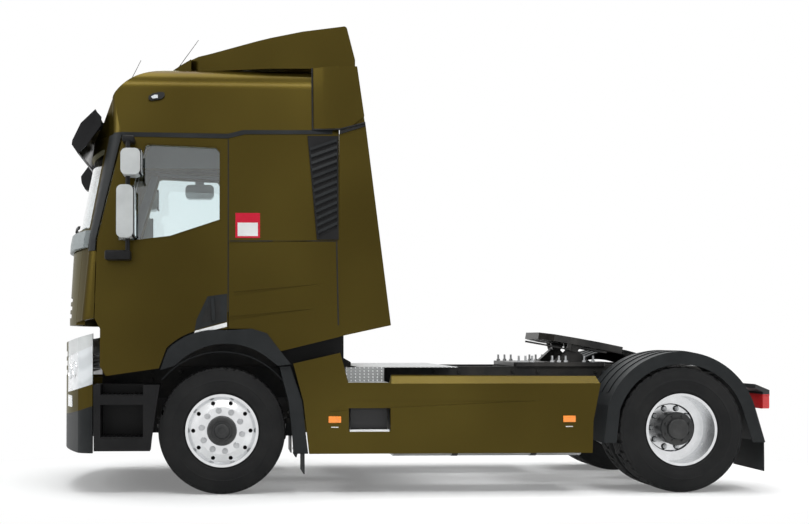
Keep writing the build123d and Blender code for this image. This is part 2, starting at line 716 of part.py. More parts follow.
def roof_form(inset):
    with BuildPart() as form:
        with BuildSketch(side_plane(1500)):
            with BuildLine():
                Polyline((cab_rear + inset, waist_z + seat_gap), (1150 - inset, waist_z + seat_gap), (1020 - inset, waist_z + 90),
                         (962 - inset, waist_z + 190 - inset * 0.3), (895 - inset * 0.9, waist_z + 315 - inset * 0.5))
                ThreePointArc((895 - inset * 0.9, waist_z + 315 - inset * 0.5), (760 - inset * 0.7, waist_z + 455 - inset * 0.8),
                              (560, roof_top - 18 - inset))
                Polyline((560, roof_top - 18 - inset), (440, roof_top - inset), (-735, roof_top - inset),
                         (-790, roof_top - 36 - inset), (cab_rear + inset, roof_top - 76 - inset), (cab_rear + inset, waist_z + seat_gap))
            make_face()
        extrude(amount=3000)
        with BuildSketch(cross_plane(1500)):
            with BuildLine():
                Polyline((-1197 + inset, waist_z + seat_gap), (1197 - inset, waist_z + seat_gap), (1150 - inset, waist_z + 370))
                ThreePointArc((1150 - inset, waist_z + 370), (1085 - inset, roof_top - 54 - inset), (930, roof_top - inset))
                Line((930, roof_top - inset), (-930, roof_top - inset))
                ThreePointArc((-930, roof_top - inset), (-1085 + inset, roof_top - 54 - inset), (-1150 + inset, waist_z + 370))
                Line((-1150 + inset, waist_z + 370), (-1197 + inset, waist_z + seat_gap))
            make_face()
        extrude(amount=-3000, mode=Mode.INTERSECT)
        extrude(plan_outline(waist_z - 60, 1150, 905, 1080, 790, 1200, cab_rear, inset), amount=900, mode=Mode.INTERSECT)
    return form.part


roof_outside = roof_form(0)
roof_inside = roof_form(roof_wall)
with BuildPart() as roof:
    add(roof_outside)
    add(roof_inside, mode=Mode.SUBTRACT)
keep(roof, "roof")

# Sun visor: a smoked blade ahead of the windscreen top, bowed with it, on two arms
visor_half = 1040
cheek = 12
with BuildPart() as sun_visor:
    with BuildSketch(side_plane(visor_half)):
        with BuildLine():
            Polyline((1050, 3176), (1170, 3060), (1240, 2915), (1244, 2880), (1190, 2800), (1182, 2806),
                     (1228, 2884), (1160, 3040), (1040, 3160), close=True)
        make_face()
    extrude(amount=2 * visor_half)
    for outer in (visor_half, -visor_half + cheek):
        with BuildSketch(side_plane(outer)):
            with BuildLine():
                Polyline((1050, 3176), (1170, 3060), (1240, 2915), (1244, 2880), (1190, 2800), (1120, 2960),
                         (1060, 3080), close=True)
            make_face()
        extrude(amount=cheek)
    for side in (1, -1):
        with BuildSketch(side_plane(side * 700 + 20)):
            with BuildLine():
                Polyline((984.6, 3112), (1060, 3120), (1199, 2960), (1150, 2960), (1050, 3050), (1020.9, 3050),
                         close=True)
            make_face()
        extrude(amount=40)
keep(sun_visor, "sun_visor")

# Roof deflector: an open cap that rises to the rear, hollow and open behind
deflector_wall = 25


def deflector_form(inset):
    with BuildPart() as form:
        with BuildSketch(side_plane(1500)):
            with BuildLine():
                Polyline((345 - inset * 4, roof_top + 74), (300 - inset, roof_top + 106 - inset), (98, roof_top + 146 - inset),
                         (-285, roof_top + 234 - inset), (-666, roof_top + 310 - inset), (-1000, roof_top + 352 - inset))
                ThreePointArc((-1000, roof_top + 352 - inset), (-1022, roof_top + 350 - inset), (-1036, roof_top + 328 - inset))
                Polyline((-1036, roof_top + 328 - inset), (-1101 - inset, roof_top + 72), (-1101 - inset, roof_top - 5 - inset),
                         (345 - inset * 4, roof_top - 5 - inset), (345 - inset * 4, roof_top + 74))
            make_face()
        extrude(amount=3000)
        with BuildSketch(plan_plane(roof_top - 116)):
            with BuildLine():
                ThreePointArc((300, -820), (345 - inset, 0), (300, 820))
                Polyline((300, 820), (200, 940 - inset), (-400, 1090 - inset), (-1200, 1130 - inset),
                         (-1200, -1130 + inset), (-400, -1090 + inset), (200, -940 + inset), (300, -820))
            make_face()
        extrude(amount=700, mode=Mode.INTERSECT)
    return form.part


deflector_outside = deflector_form(0)
deflector_inside = deflector_form(deflector_wall)
with BuildPart() as roof_deflector:
    add(deflector_outside)
    add(deflector_inside, mode=Mode.SUBTRACT)
    with BuildSketch(plan_plane(roof_top - 116)):
        Rectangle(5000, 4000)
    extrude(amount=116 + seat_gap, mode=Mode.SUBTRACT)
keep(roof_deflector, "roof_deflector")

# Side deflectors: two stacked blades each side that close the gap behind the cab
blade = 22
with BuildPart() as side_deflectors:
    with BuildSketch(side_plane(1212)):
        with BuildLine():
            Polyline((cab_rear - seat_gap, 2990), (-1172, 3052), (-1108, 3500), (cab_rear - seat_gap, 3430),
                     close=True)
        make_face()
    extrude(amount=blade)
    with BuildSketch(side_plane(1222)):
        with BuildLine():
            Polyline((cab_rear - seat_gap, 1292), (cab_rear - seat_gap, 2955), (-1178, 3024), (-1383, 1384),
                     close=True)
        make_face()
    extrude(amount=blade)
    mirror(about=Plane.XZ)
keep(side_deflectors, "side_deflectors")

# Cowl: dark panel between the windscreen and the front flap
cowl_low = flap_high + 14
cowl_high = 2165
cowl_depth = 32
with BuildPart() as cowl:
    add(cab_form(-cowl_depth))
    add(cab_form(-seat_gap), mode=Mode.SUBTRACT)
    extrude(front_outline(cowl_low, cowl_high, 1090, 1090, 0), amount=-700, mode=Mode.INTERSECT)
keep(cowl, "cowl")

# Wipers: two arms that lie along the foot of the windscreen
wiper_thickness = 16
wiper_spans = [(-640, -20), (40, 660)]
with BuildPart() as wipers:
    with BuildSketch(cross_plane(1500)):
        for foot_y, tip_y in wiper_spans:
            with Locations((foot_y + 22, cowl_high + 36)):
                Rectangle(44, 72 - 2 * seat_gap)
            with Locations(((foot_y + tip_y) / 2, cowl_high + 58)):
                Rectangle(tip_y - foot_y, 26)
    extrude(amount=-500)
    add(cab_form(-wiper_thickness), mode=Mode.INTERSECT)
    add(cab_form(-seat_gap), mode=Mode.SUBTRACT)
keep(wipers, "wipers")

# Wheel-arch flares on the cab
flare_out = 1244
flare_in = 1150
flare_seat = 0.4
with BuildPart() as arch_flares:
    with BuildSketch(side_plane(flare_out)):
        with BuildLine():
            Polyline((500, 1020), (442, 1185))
            ThreePointArc((442, 1185), (322, 1277), (0, 1344))
            Polyline((0, 1344), (arch_edge[0][0] - running_gap, 1344), *[(x, z - flare_seat) for x, z in arch_edge[1:]],
                     (-562, 1066), (-470, 1055), (-451, 1055), (-357, 1131))
            ThreePointArc((-357, 1131), (-20, 1234), (381, 1056))
            Line((381, 1056), (500, 1020))
        make_face()
    extrude(amount=flare_out - flare_in)
    mirror(about=Plane.XZ)
keep(arch_flares, "arch_flares")

# Bumper corner pieces share one curved band in plan
front_x = front_overhang
band_depth = 60
corner_out = 1140


def bumper_band(low, high):
    with BuildPart() as band:
        with BuildSketch(plan_plane(low)):
            with BuildLine():
                ThreePointArc((1180, -1070), (front_x, 0), (1180, 1070))
                ThreePointArc((1180, 1070), (1130, 1118), (1055, corner_out))
                Line((1055, corner_out), (1055, corner_out - 60))
                ThreePointArc((1055, corner_out - 60), (1100, 1060), (1135, 1010))
                ThreePointArc((1135, 1010), (front_x - band_depth, 0), (1135, -1010))
                ThreePointArc((1135, -1010), (1100, -1060), (1055, -corner_out + 60))
                Line((1055, -corner_out + 60), (1055, -corner_out))
                ThreePointArc((1055, -corner_out), (1130, -1118), (1180, -1070))
            make_face()
        extrude(amount=high - low)
    return band.part


lamp_inner_y = 640
bumper_low = 340
bumper_top = 1325
full_band = bumper_band(bumper_low, bumper_top)
band_edge = [(1450, 590), (1065, 722)]
lamp_bottom = [(1450, 775), (1065, 900)]
lamp_top = [(1450, 1055), (1060, 1214)]
brow_top = [(1450, 1215), (1050, 1318)]


def between(low_line, high_line):
    with BuildSketch(side_plane(1500)) as outline:
        with BuildLine():
            Polyline(low_line[0], low_line[1], (1000, low_line[1][1] + 20), (1000, high_line[1][1] + 10),
                     high_line[1], high_line[0], close=True)
        make_face()
    return outline.sketch


with BuildPart() as bumper_skirt:
    add(full_band)
    extrude(between([(1450, 300), (1065, 300)], band_edge), amount=3000, mode=Mode.INTERSECT)
keep(bumper_skirt, "bumper_skirt")
seam = seat_gap
bumper_slots = [980, 1060, 1140]
slot_half = 560
slot_opening = 48
with BuildPart() as lamp_pockets:
    extrude(between(lamp_bottom, [(1450, 1500), (1050, 1500)]), amount=3000)
    with BuildSketch(plan_plane(300)):
        Rectangle(4000, 2 * lamp_inner_y)
    extrude(amount=1500, mode=Mode.SUBTRACT)
with BuildPart() as bumper:
    add(full_band)
    extrude(between([(1450, 590 + seam), (1065, 722 + seam)], brow_top), amount=3000, mode=Mode.INTERSECT)
    with BuildSketch(cross_plane(1500)):
        for z in bumper_slots:
            with Locations((0, z)):
                Rectangle(2 * slot_half, slot_opening)
    extrude(amount=-500, mode=Mode.SUBTRACT)
    add(lamp_pockets.part, mode=Mode.SUBTRACT)
    for side in (1, -1):
        with BuildSketch(cross_plane(rail_front + seat_gap)):
            with Locations((side * spring_seat_y, 870)):
                Rectangle(rail_flange, 140)
        extrude(amount=front_x - 40 - rail_front)
keep(bumper, "bumper")
with BuildPart() as headlamps:
    add(full_band)
    extrude(between([(1450, 775 + seam), (1065, 900 + seam)], lamp_top), amount=3000, mode=Mode.INTERSECT)
    with BuildSketch(plan_plane(300)):
        Rectangle(4000, 2 * lamp_inner_y + 2 * seam)
    extrude(amount=1500, mode=Mode.SUBTRACT)
keep(headlamps, "headlamps")
with BuildPart() as lamp_brows:
    add(full_band)
    extrude(between([(1450, 1055 + seam), (1060, 1214 + seam)], brow_top), amount=3000, mode=Mode.INTERSECT)
    with BuildSketch(plan_plane(300)):
        Rectangle(4000, 2 * lamp_inner_y + 2 * seam)
    extrude(amount=1500, mode=Mode.SUBTRACT)
keep(lamp_brows, "lamp_brows")

# Entry steps: a box each side behind the bumper with two open steps
step_out = 1205
step_in = 850
with BuildPart() as step_boxes:
    with BuildSketch(side_plane(step_out)):
        with BuildLine():
            Polyline((1038, 362), (1044, 900), (505, 900), (585, 362), close=True)
        make_face()
    extrude(amount=step_out - step_in)
    for low, high, front in ((470, 738, 985), (815, 1000, 985)):
        with BuildSketch(side_plane(step_out + 10)):
            with BuildLine():
                Polyline((640, low), (front, low), (front, high), (640, high), close=True)
            make_face()
        extrude(amount=250, mode=Mode.SUBTRACT)
    add(wheel_sweep.part, mode=Mode.SUBTRACT)
    with BuildSketch(side_plane(step_in + 5)):
        with Locations((930, 800)):
            Rectangle(60, 60)
    extrude(amount=step_in + 5 - rail_outer_y)
    mirror(about=Plane.XZ)
keep(step_boxes, "step_boxes")

# Front mudguards: a curved liner over each wheel and a guard with a flap behind it
liner_r = 640
liner_thickness = 10
liner_from = 40
liner_to = 200


def ring_point(x, z, radius, angle):
    return (x + radius * math.cos(math.radians(angle)), z + radius * math.sin(math.radians(angle)))


with BuildPart() as front_mudguards:
    with BuildSketch(side_plane(1140)):
        with BuildLine():
            CenterArc((0, hub_z), liner_r, liner_from, liner_to - liner_from)
            Line(ring_point(0, hub_z, liner_r, liner_to), ring_point(0, hub_z, liner_r + liner_thickness, liner_to))
            CenterArc((0, hub_z), liner_r + liner_thickness, liner_to, liner_from - liner_to)
            Line(ring_point(0, hub_z, liner_r + liner_thickness, liner_from),
                 ring_point(0, hub_z, liner_r, liner_from))
        make_face()
    extrude(amount=390)
    with BuildSketch(side_plane(1215)):
        with BuildLine():
            Polyline((-470, 1045), (-557, 1050), (-650, 770), (-704, 336), (-592, 336), (-545, 756), close=True)
        make_face()
    extrude(amount=465)
    with BuildSketch(side_plane(1205)):
        with Locations((-670, 260)):
            Rectangle(10, 180)
    extrude(amount=440)
    add(wheel_sweep.part, mode=Mode.SUBTRACT)
    with BuildSketch(side_plane(755)):
        with Locations((-640, 850)):
            Rectangle(50, 50)
    extrude(amount=755 - rail_outer_y)
    mirror(about=Plane.XZ)
keep(front_mudguards, "front_mudguards")

# Side skirts with the step notch and the service cut-out
skirt_out = 1225
skirt_wall = 40
skirt_low = 335
skirt_rear = 715 - wheelbase
ledge_low = 903
ledge_depth = 32
fold_depth = 9
with BuildPart() as side_skirts:
    with BuildSketch(side_plane(skirt_out)):
        with BuildLine():
            Polyline((-580, 1071), (-966, 1159), (-1032, 915), (-1371, 914), (-1385, 978), (skirt_rear, 966),
                     (skirt_rear - 35, 900), (skirt_rear + 25, 600), (skirt_rear + 35, skirt_low),
                     (-712, skirt_low), (-664, 760), close=True)
        make_face()
        with BuildLine():
            Polyline((-1035, 520), (-1378, 520), (-1378, 706), (-1035, 706), close=True)
        make_face(mode=Mode.SUBTRACT)
    extrude(amount=skirt_wall)
    with BuildSketch(cross_plane(-1385)):
        with BuildLine():
            Polyline((skirt_out + 2, ledge_low), (skirt_out + 2, 990), (skirt_out - ledge_depth, 990),
                     (skirt_out - ledge_depth, 966), close=True)
        make_face()
    extrude(amount=skirt_rear - 100 + 1385, mode=Mode.SUBTRACT)
    with BuildSketch(side_plane(skirt_out + 2)):
        with BuildLine():
            Polyline((-881, 676), (-1062, 773), (skirt_rear + 480, 764), (-1382, 710), close=True)
        make_face()
    extrude(amount=2 + fold_depth, mode=Mode.SUBTRACT)
    mirror(about=Plane.XZ)
keep(side_skirts, "side_skirts")

# Tanks and boxes behind the skirts, held on brackets from the rails
with BuildPart() as tanks:
    for x0, x1, z0, z1 in ((skirt_rear + 95, -1420, 300, 880), (-1360, -1060, 430, 800)):
        with BuildSketch(cross_plane(x0)):
            with Locations((830, (z0 + z1) / 2)):
                RectangleRounded(620, z1 - z0, 110)
        extrude(amount=x1 - x0)
    for x, arm_z in ((1300 - wheelbase, 600), (-1600, 600), (-1210, 475)):
        with BuildSketch(cross_plane(x - 30)):
            with Locations(((rail_outer_y + 640) / 2, 780)):
                Rectangle(640 - rail_outer_y, 30)
            with Locations(((1100 + skirt_out - skirt_wall - seat_gap) / 2, arm_z)):
                Rectangle(skirt_out - skirt_wall - seat_gap - 1100, 40)
        extrude(amount=60)
    mirror(about=Plane.XZ)
keep(tanks, "tanks")

# Checker-plate catwalk on the frame and the side steps up to it
catwalk_front = -1140
catwalk_rear = 1800 - wheelbase
with BuildPart() as catwalk:
    with BuildSketch(plan_plane(rail_top)):
        with Locations(((catwalk_front + catwalk_rear) / 2, 0)):
            Rectangle(catwalk_front - catwalk_rear, 1740)
    extrude(amount=6)
    for side in (1, -1):
        with BuildSketch(plan_plane(908)):
            with Locations((-1205, side * 1020)):
                Rectangle(330, 316)
        extrude(amount=6)
        with BuildSketch(side_plane(side * 868 + 3)):
            with Locations((-1205, 972)):
                Rectangle(330, 120)
        extrude(amount=6)
keep(catwalk, "catwalk")

# Fifth wheel: mounting plate, two pedestals with a pivot pin, and the tilting coupling plate
fifth_x = 670 - wheelbase
fifth_pivot_z = 1178
fifth_rest_tilt = -10
base_thickness = 36
pedestal_y = 300
plate_thickness = 60
pivot_pin_r = 22
plate_lift = 34
kingpin_bore_r = 25.6
plate_skin = 16
plate_pockets = [
    [(275, 30), (275, 230), (190, 235), (90, 190), (90, 60)],
    [(180, 255), (180, 405), (90, 415), (90, 225)],
    [(-90, 90), (-90, 410), (-185, 400), (-185, 120)],
    [(-215, 125), (-215, 405), (-430, 290), (-440, 215)]]
handle_drop = -16
handle_thickness = 14
with BuildPart() as fifth_wheel_base:
    with BuildSketch(plan_plane(rail_top)):
        with Locations((fifth_x + 140, 0)):
            RectangleRounded(820, 2 * rail_outer_y + 40, 40)
    extrude(amount=base_thickness)
    for side in (1, -1):
        with BuildSketch(side_plane(side * pedestal_y + 45)):
            with BuildLine():
                Polyline((fifth_x - 160, rail_top + base_thickness), (fifth_x + 160, rail_top + base_thickness),
                         (fifth_x + 34, fifth_pivot_z))
                ThreePointArc((fifth_x + 34, fifth_pivot_z), (fifth_x, fifth_pivot_z + 34),
                              (fifth_x - 34, fifth_pivot_z))
                Line((fifth_x - 34, fifth_pivot_z), (fifth_x - 160, rail_top + base_thickness))
            make_face()
        extrude(amount=90)
    with BuildSketch(side_plane(500)):
        with Locations((fifth_x, fifth_pivot_z)):
            Circle(pivot_pin_r + pin_gap)
    extrude(amount=1000, mode=Mode.SUBTRACT)
keep(fifth_wheel_base, "fifth_wheel_base")

plate_frame = Plane(origin=(front_axle_x + fifth_x, 0, fifth_pivot_z), x_dir=(1, 0, 0), z_dir=(0, 0, 1)).rotated(
    (0, fifth_rest_tilt, 0))
with BuildPart() as fifth_wheel_plate:
    with BuildSketch(plate_frame.offset(plate_lift + 8)):
        with BuildLine():
            Polyline((300, 250), (300, -250), (200, -420), (0, -455), (-200, -440), (-460, -300), (-470, -190),
                     (-120, -42), (-66, -30), (-66, 30), (-120, 42), (-470, 190), (-460, 300),
                     (-200, 440), (0, 455), (200, 420), close=True)
        make_face()
        with Locations((0, 0)):
            Circle(kingpin_bore_r, mode=Mode.SUBTRACT)
    extrude(amount=plate_thickness)
    with BuildSketch(plate_frame.offset(plate_lift + 8)):
        for pocket in plate_pockets:
            for side in (1, -1):
                with BuildLine():
                    Polyline(*[(x, side * y) for x, y in pocket], close=True)
                make_face()
    extrude(amount=plate_thickness - plate_skin, mode=Mode.SUBTRACT)
    with BuildSketch(plate_frame.offset(handle_drop)):
        with BuildLine():
            Polyline((45, 415), (45, 446), (330, 508), (330, 490), (75, 432), (75, 415), close=True)
        make_face()
        with Locations((395, 499)):
            RectangleRounded(150, 60, 28)
            RectangleRounded(126, 36, 17, mode=Mode.SUBTRACT)
    extrude(amount=handle_thickness)
    with BuildSketch(plate_frame.offset(handle_drop)):
        with Locations((60, 428)):
            Rectangle(30, 26)
    extrude(amount=plate_lift + 12 - handle_drop)
    for side in (1, -1):
        for row in (62, -62 - 30):
            with BuildSketch(Plane(origin=(front_axle_x + fifth_x, side * pedestal_y + row + 30, fifth_pivot_z),
                                   x_dir=plate_frame.x_dir, z_dir=(0, -1, 0))):
                with BuildLine():
                    Polyline((-60, plate_lift + 8), (60, plate_lift + 8), (30, -20), (-30, -20), close=True)
                make_face()
            extrude(amount=30)
        with BuildSketch(side_plane(side * pedestal_y + 95)):
            with Locations((fifth_x, fifth_pivot_z)):
                Circle(pivot_pin_r)
        extrude(amount=190)
keep(fifth_wheel_plate, "fifth_wheel_plate")

# Rear fenders: a wide arched cover over each twin wheel with a rolled side band and a flap
fender_r = 646
fender_sheet = 12
fender_in = 560
fender_out = 1222
fender_angle = 18
fender_tube_r = 20
fender_ribs = [700, 880, 1060]
rib_width = 60
rib_height = 8
rib_from = 28
with BuildPart() as rear_fenders:
    for outer, depth, y_out, y_in in ((fender_r, fender_sheet, fender_out, fender_in),
                                      (fender_r, 104, fender_out, fender_out - 16)):
        inner = outer - depth
        c = math.cos(math.radians(fender_angle))
        s = math.sin(math.radians(fender_angle))
        with BuildSketch(side_plane(y_out)):
            with BuildLine():
                CenterArc((-wheelbase, hub_z), outer, fender_angle, 180 - 2 * fender_angle)
                Polyline((-wheelbase - outer * c, hub_z + outer * s), (-wheelbase - 703, 415),
                         (-wheelbase - 703 + depth, 415), (-wheelbase - inner * c, hub_z + inner * s))
                CenterArc((-wheelbase, hub_z), inner, 180 - fender_angle, 2 * fender_angle - 180)
                Polyline((-wheelbase + inner * c, hub_z + inner * s), (-wheelbase + 653 - depth, 415),
                         (-wheelbase + 653, 415), (-wheelbase + outer * c, hub_z + outer * s))
            make_face()
        extrude(amount=y_out - y_in)
    for rib_y in fender_ribs:
        with BuildSketch(side_plane(rib_y + rib_width / 2)):
            with BuildLine():
                CenterArc((-wheelbase, hub_z), fender_r + rib_height, rib_from, 180 - 2 * rib_from)
                Line(ring_point(-wheelbase, hub_z, fender_r + rib_height, 180 - rib_from),
                     ring_point(-wheelbase, hub_z, fender_r - 2, 180 - rib_from))
                CenterArc((-wheelbase, hub_z), fender_r - 2, 180 - rib_from, 2 * rib_from - 180)
                Line(ring_point(-wheelbase, hub_z, fender_r - 2, rib_from),
                     ring_point(-wheelbase, hub_z, fender_r + rib_height, rib_from))
            make_face()
        extrude(amount=rib_width)
    with BuildSketch(side_plane(fender_out - 20)):
        with Locations((-wheelbase - 703 + 6, 310)):
            Rectangle(8, 270)
    extrude(amount=fender_out - fender_in - 30)
    tube_ring = fender_r - fender_sheet - fender_tube_r + 2
    for angle in (47, 133):
        with BuildSketch(side_plane(fender_out - 20)):
            with Locations(ring_point(-wheelbase, hub_z, tube_ring, angle)):
                Circle(fender_tube_r)
        extrude(amount=fender_out - 20 - rail_outer_y)
    mirror(about=Plane.XZ)
keep(rear_fenders, "rear_fenders")

# Tail lamps, each on an arm from the frame's end
lamp_depth = 56
lamp_height = 120
lamp_z = 750
lamp_x = -wheelbase - rear_overhang
arm_end = 1180
with BuildPart() as tail_lamps:
    with BuildSketch(cross_plane(lamp_x)):
        with Locations((965, lamp_z)):
            RectangleRounded(420, lamp_height, 20)
    extrude(amount=lamp_depth)
    with BuildSketch(side_plane(arm_end)):
        with BuildLine():
            Polyline((lamp_x + lamp_depth, 800), (lamp_x, 800), (lamp_x, 846), (lamp_x + 120, 896),
                     (lamp_x + 120, 860), (lamp_x + lamp_depth, 830), close=True)
        make_face()
    extrude(amount=arm_end - rail_outer_y)
    mirror(about=Plane.XZ)
keep(tail_lamps, "tail_lamps")

# Inside the cab: dashboard, steering wheel on its column, two seats and the bunk
floor_top = floor_bottom + floor_thickness
dash_half = 1070
with BuildPart() as dashboard:
    with BuildSketch(side_plane(dash_half)):
        with BuildLine():
            Polyline(toe_line[0], (bulkhead_x - bulkhead_thickness, bulkhead_top), (960, 2095), (760, 2060),
                     (700, 1960), (720, 1860), (880, 1700), toe_line[1], close=True)
        make_face()
    extrude(amount=2 * dash_half)
wheel_place = (610, 610, 2060)
steering_plane = Plane(origin=(front_axle_x + wheel_place[0], wheel_place[1], wheel_place[2]), x_dir=(0, 1, 0),
                       z_dir=(-math.sin(math.radians(32)), 0, math.cos(math.radians(32))))
with BuildPart() as steering_wheel:
    with BuildSketch(Plane(origin=steering_plane.origin, x_dir=(0, 1, 0), z_dir=steering_plane.x_dir.cross(
            steering_plane.z_dir))) as rim_section:
        with Locations((222, 0)):
            Circle(15)
    revolve(axis=Axis(steering_plane.origin, steering_plane.z_dir))
    with BuildSketch(steering_plane.offset(-12)):
        for angle in (0, 180, 270):
            with Locations(Location((105 * math.cos(math.radians(angle)), 105 * math.sin(math.radians(angle))),
                                    angle)):
                Rectangle(215, 34)
    extrude(amount=14)
    with BuildSketch(steering_plane.offset(-150)):
        Circle(32)
    extrude(amount=160)
with BuildPart() as dash_and_wheel:
    add(dashboard.part)
    add(steering_wheel.part)
keep(dash_and_wheel, "dashboard")
with BuildPart() as seats:
    for side in (1, -1):
        with BuildSketch(side_plane(side * 610 + 170)):
            with Locations((150, (floor_top + 1805) / 2)):
                Rectangle(340, 1805 - floor_top)
        extrude(amount=340)
        with BuildSketch(side_plane(side * 610 + 260)):
            with BuildLine():
                Polyline((400, 1830), (400, 1930), (330, 1960), (-100, 1930), (-240, 2560), (-260, 2760),
                         (-330, 2740), (-330, 2560), (-220, 1900), (-150, 1800), (340, 1800), close=True)
            make_face()
        extrude(amount=520)
    with BuildSketch(side_plane(1120)):
        with Locations((-620, (floor_top + 1990) / 2)):
            Rectangle(2 * 278, 1990 - floor_top)
    extrude(amount=2240)
keep(seats, "seats")

# Mirrors on the doors: two housings on a tube between a foot and a top clamp
tube_y = 1400
with BuildPart() as mirrors_left:
    for x0, x1, y0, y1, z0, z1 in (
            (705, 837, 1290, 1520, 2075, 2495),
            (650, 805, 1295, 1520, 2575, 2785)):
        with BuildSketch(side_plane(y1)):
            with Locations(((x0 + x1) / 2, (z0 + z1) / 2)):
                RectangleRounded(x1 - x0, z1 - z0, 45)
        extrude(amount=y1 - y0)
    with BuildSketch(plan_plane(1945)):
        with Locations((755, tube_y)):
            Circle(17)
    extrude(amount=945)
    for x0, x1, z0, z1 in ((738, 930, 1915, 1975), (715, 795, 2860, 2895)):
        with BuildSketch(side_plane(tube_y + 17)):
            with Locations(((x0 + x1) / 2, (z0 + z1) / 2)):
                Rectangle(x1 - x0, z1 - z0)
        extrude(amount=tube_y + 17 - 1180)
    add(cab_form(-seat_gap), mode=Mode.SUBTRACT)
keep(mirrors_left, "mirrors_left")
with BuildPart() as mirrors_right:
    mirror(mirrors_left.part, about=Plane.XZ)
    with BuildSketch(side_plane(-1290)):
        with Locations((228, 2758)):
            RectangleRounded(288, 142, 45)
    extrude(amount=130)
    with BuildSketch(side_plane(-1180)):
        with Locations((228, 2860)):
            Rectangle(90, 26)
    extrude(amount=150)
    with BuildSketch(side_plane(-1310)):
        with Locations((228, 2840)):
            Rectangle(90, 60)
    extrude(amount=20)
    add(cab_form(-seat_gap), mode=Mode.SUBTRACT)
keep(mirrors_right, "mirrors_right")

# Front mirror: looks down over the bumper from a short arm on the visor's right end
front_mirror_y = -1010
with BuildPart() as front_mirror:
    with BuildSketch(side_plane(front_mirror_y + 160)):
        with BuildLine():
            Polyline((1258, 2938), (1306, 2946), (1374, 2850), (1366, 2786), (1330, 2722), (1270, 2716), (1244, 2760),
                     close=True)
        make_face()
        fillet(vertices(), 14)
    extrude(amount=160)
    with BuildSketch(side_plane(front_mirror_y + 100)):
        with BuildLine():
            Polyline((1300, 2890), (1237, 2882), (1210, 2840), (1300, 2830), close=True)
        make_face()
    extrude(amount=40)
    add(sun_visor.part, mode=Mode.SUBTRACT)
keep(front_mirror, "front_mirror")

# Air intake grilles on the cab's rear flanks: a moulding with slanting slots that rise to the rear
grille_depth = 14
slot_depth = 9
slot_count = 13
slot_pitch = 57
slot_height = 27
slot_rise = 78
slot_low = 2098
grille_front_low = (-774, 2085)
grille_front_high = (-700, waist_z - 20)
grille_rear = -952
with BuildPart() as grille_slots:
    add(cab_form(-grille_depth - 6))
    add(cab_form(slot_depth - grille_depth), mode=Mode.SUBTRACT)
    with BuildSketch(side_plane(1500)):
        for number in range(slot_count):
            z = slot_low + number * slot_pitch
            lean = (grille_front_high[0] - grille_front_low[0]) / (grille_front_high[1] - grille_front_low[1])
            front = grille_front_low[0] + (z - slot_low) * lean - 14
            with BuildLine():
                Polyline((front, z), (grille_rear + 12, z + slot_rise), (grille_rear + 12, z + slot_rise + slot_height),
                         (front, z + slot_height), close=True)
            make_face()
    extrude(amount=3000, mode=Mode.INTERSECT)
with BuildPart() as intake_grilles:
    add(cab_form(-grille_depth))
    add(cab_form(-seat_gap), mode=Mode.SUBTRACT)
    with BuildSketch(side_plane(1500)):
        with BuildLine():
            Polyline(grille_front_high, (grille_rear, waist_z - 20), (grille_rear, grille_front_low[1]),
                     grille_front_low, close=True)
        make_face()
    extrude(amount=3000, mode=Mode.INTERSECT)
    add(grille_slots.part, mode=Mode.SUBTRACT)
keep(intake_grilles, "intake_grilles")
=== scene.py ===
import math

import bmesh
import bpy
from mathutils import Matrix, Vector
from mathutils.bvhtree import BVHTree


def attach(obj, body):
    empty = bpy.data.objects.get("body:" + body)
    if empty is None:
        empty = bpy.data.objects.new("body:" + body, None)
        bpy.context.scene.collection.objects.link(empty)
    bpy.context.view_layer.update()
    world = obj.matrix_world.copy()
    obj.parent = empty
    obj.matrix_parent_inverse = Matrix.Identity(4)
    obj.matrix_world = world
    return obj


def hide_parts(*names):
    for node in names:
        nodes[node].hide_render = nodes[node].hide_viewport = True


# Two-axle cab-over road tractor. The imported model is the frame: metres, X forward, Y to the
# vehicle's left and Z up, with the origin on the ground below the middle of the vehicle.
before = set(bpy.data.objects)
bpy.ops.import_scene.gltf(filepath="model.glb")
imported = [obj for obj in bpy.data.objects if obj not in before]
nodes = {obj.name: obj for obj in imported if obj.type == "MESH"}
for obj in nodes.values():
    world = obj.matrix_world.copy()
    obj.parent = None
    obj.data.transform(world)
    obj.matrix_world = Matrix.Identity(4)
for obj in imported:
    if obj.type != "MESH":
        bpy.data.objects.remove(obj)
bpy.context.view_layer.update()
front_axle_x = 1.590
rear_axle_x = -2.210
hub_z = 0.522

# Studio: an almost level camera on the vehicle's left, nearly square on to it, a pale floor that
# fades into a white backdrop, and large soft lamps overhead and on the camera's side.
scene = bpy.context.scene
scene.view_settings.view_transform = "Standard"
camera_data = bpy.data.cameras.new("camera")
camera_data.sensor_width = 36.0
camera_data.lens = 36.0 * 1287.0 / 809.0
camera_data.shift_x = (404.5 - 285.0) / 809.0
camera_data.shift_y = (304.3 - 262.0) / 809.0
camera_data.clip_end = 200.0
camera = bpy.data.objects.new("camera", camera_data)
camera.location = (front_axle_x, 11.717, 1.28)
camera.rotation_euler = (math.radians(91.5), 0.0, math.radians(177.2))
scene.collection.objects.link(camera)
scene.camera = camera
def wire(tree, node, inputs):
    for socket, value in inputs.items():
        if isinstance(value, bpy.types.NodeSocket):
            tree.links.new(value, node.inputs[socket])
        else:
            node.inputs[socket].default_value = value


def finish_node(tree, kind, inputs, **settings):
    made = tree.nodes.new("ShaderNode" + kind)
    for setting, value in settings.items():
        setattr(made, setting, value)
    wire(tree, made, inputs)
    return made.outputs


def toned(tree, factor, low, high, start=0.0, end=1.0):
    ramp = tree.nodes.new("ShaderNodeValToRGB")
    for stop, colour, place in zip(ramp.color_ramp.elements, (low, high), (start, end)):
        stop.position = place
        stop.color = (*colour, 1.0)
    tree.links.new(factor, ramp.inputs["Fac"])
    return ramp


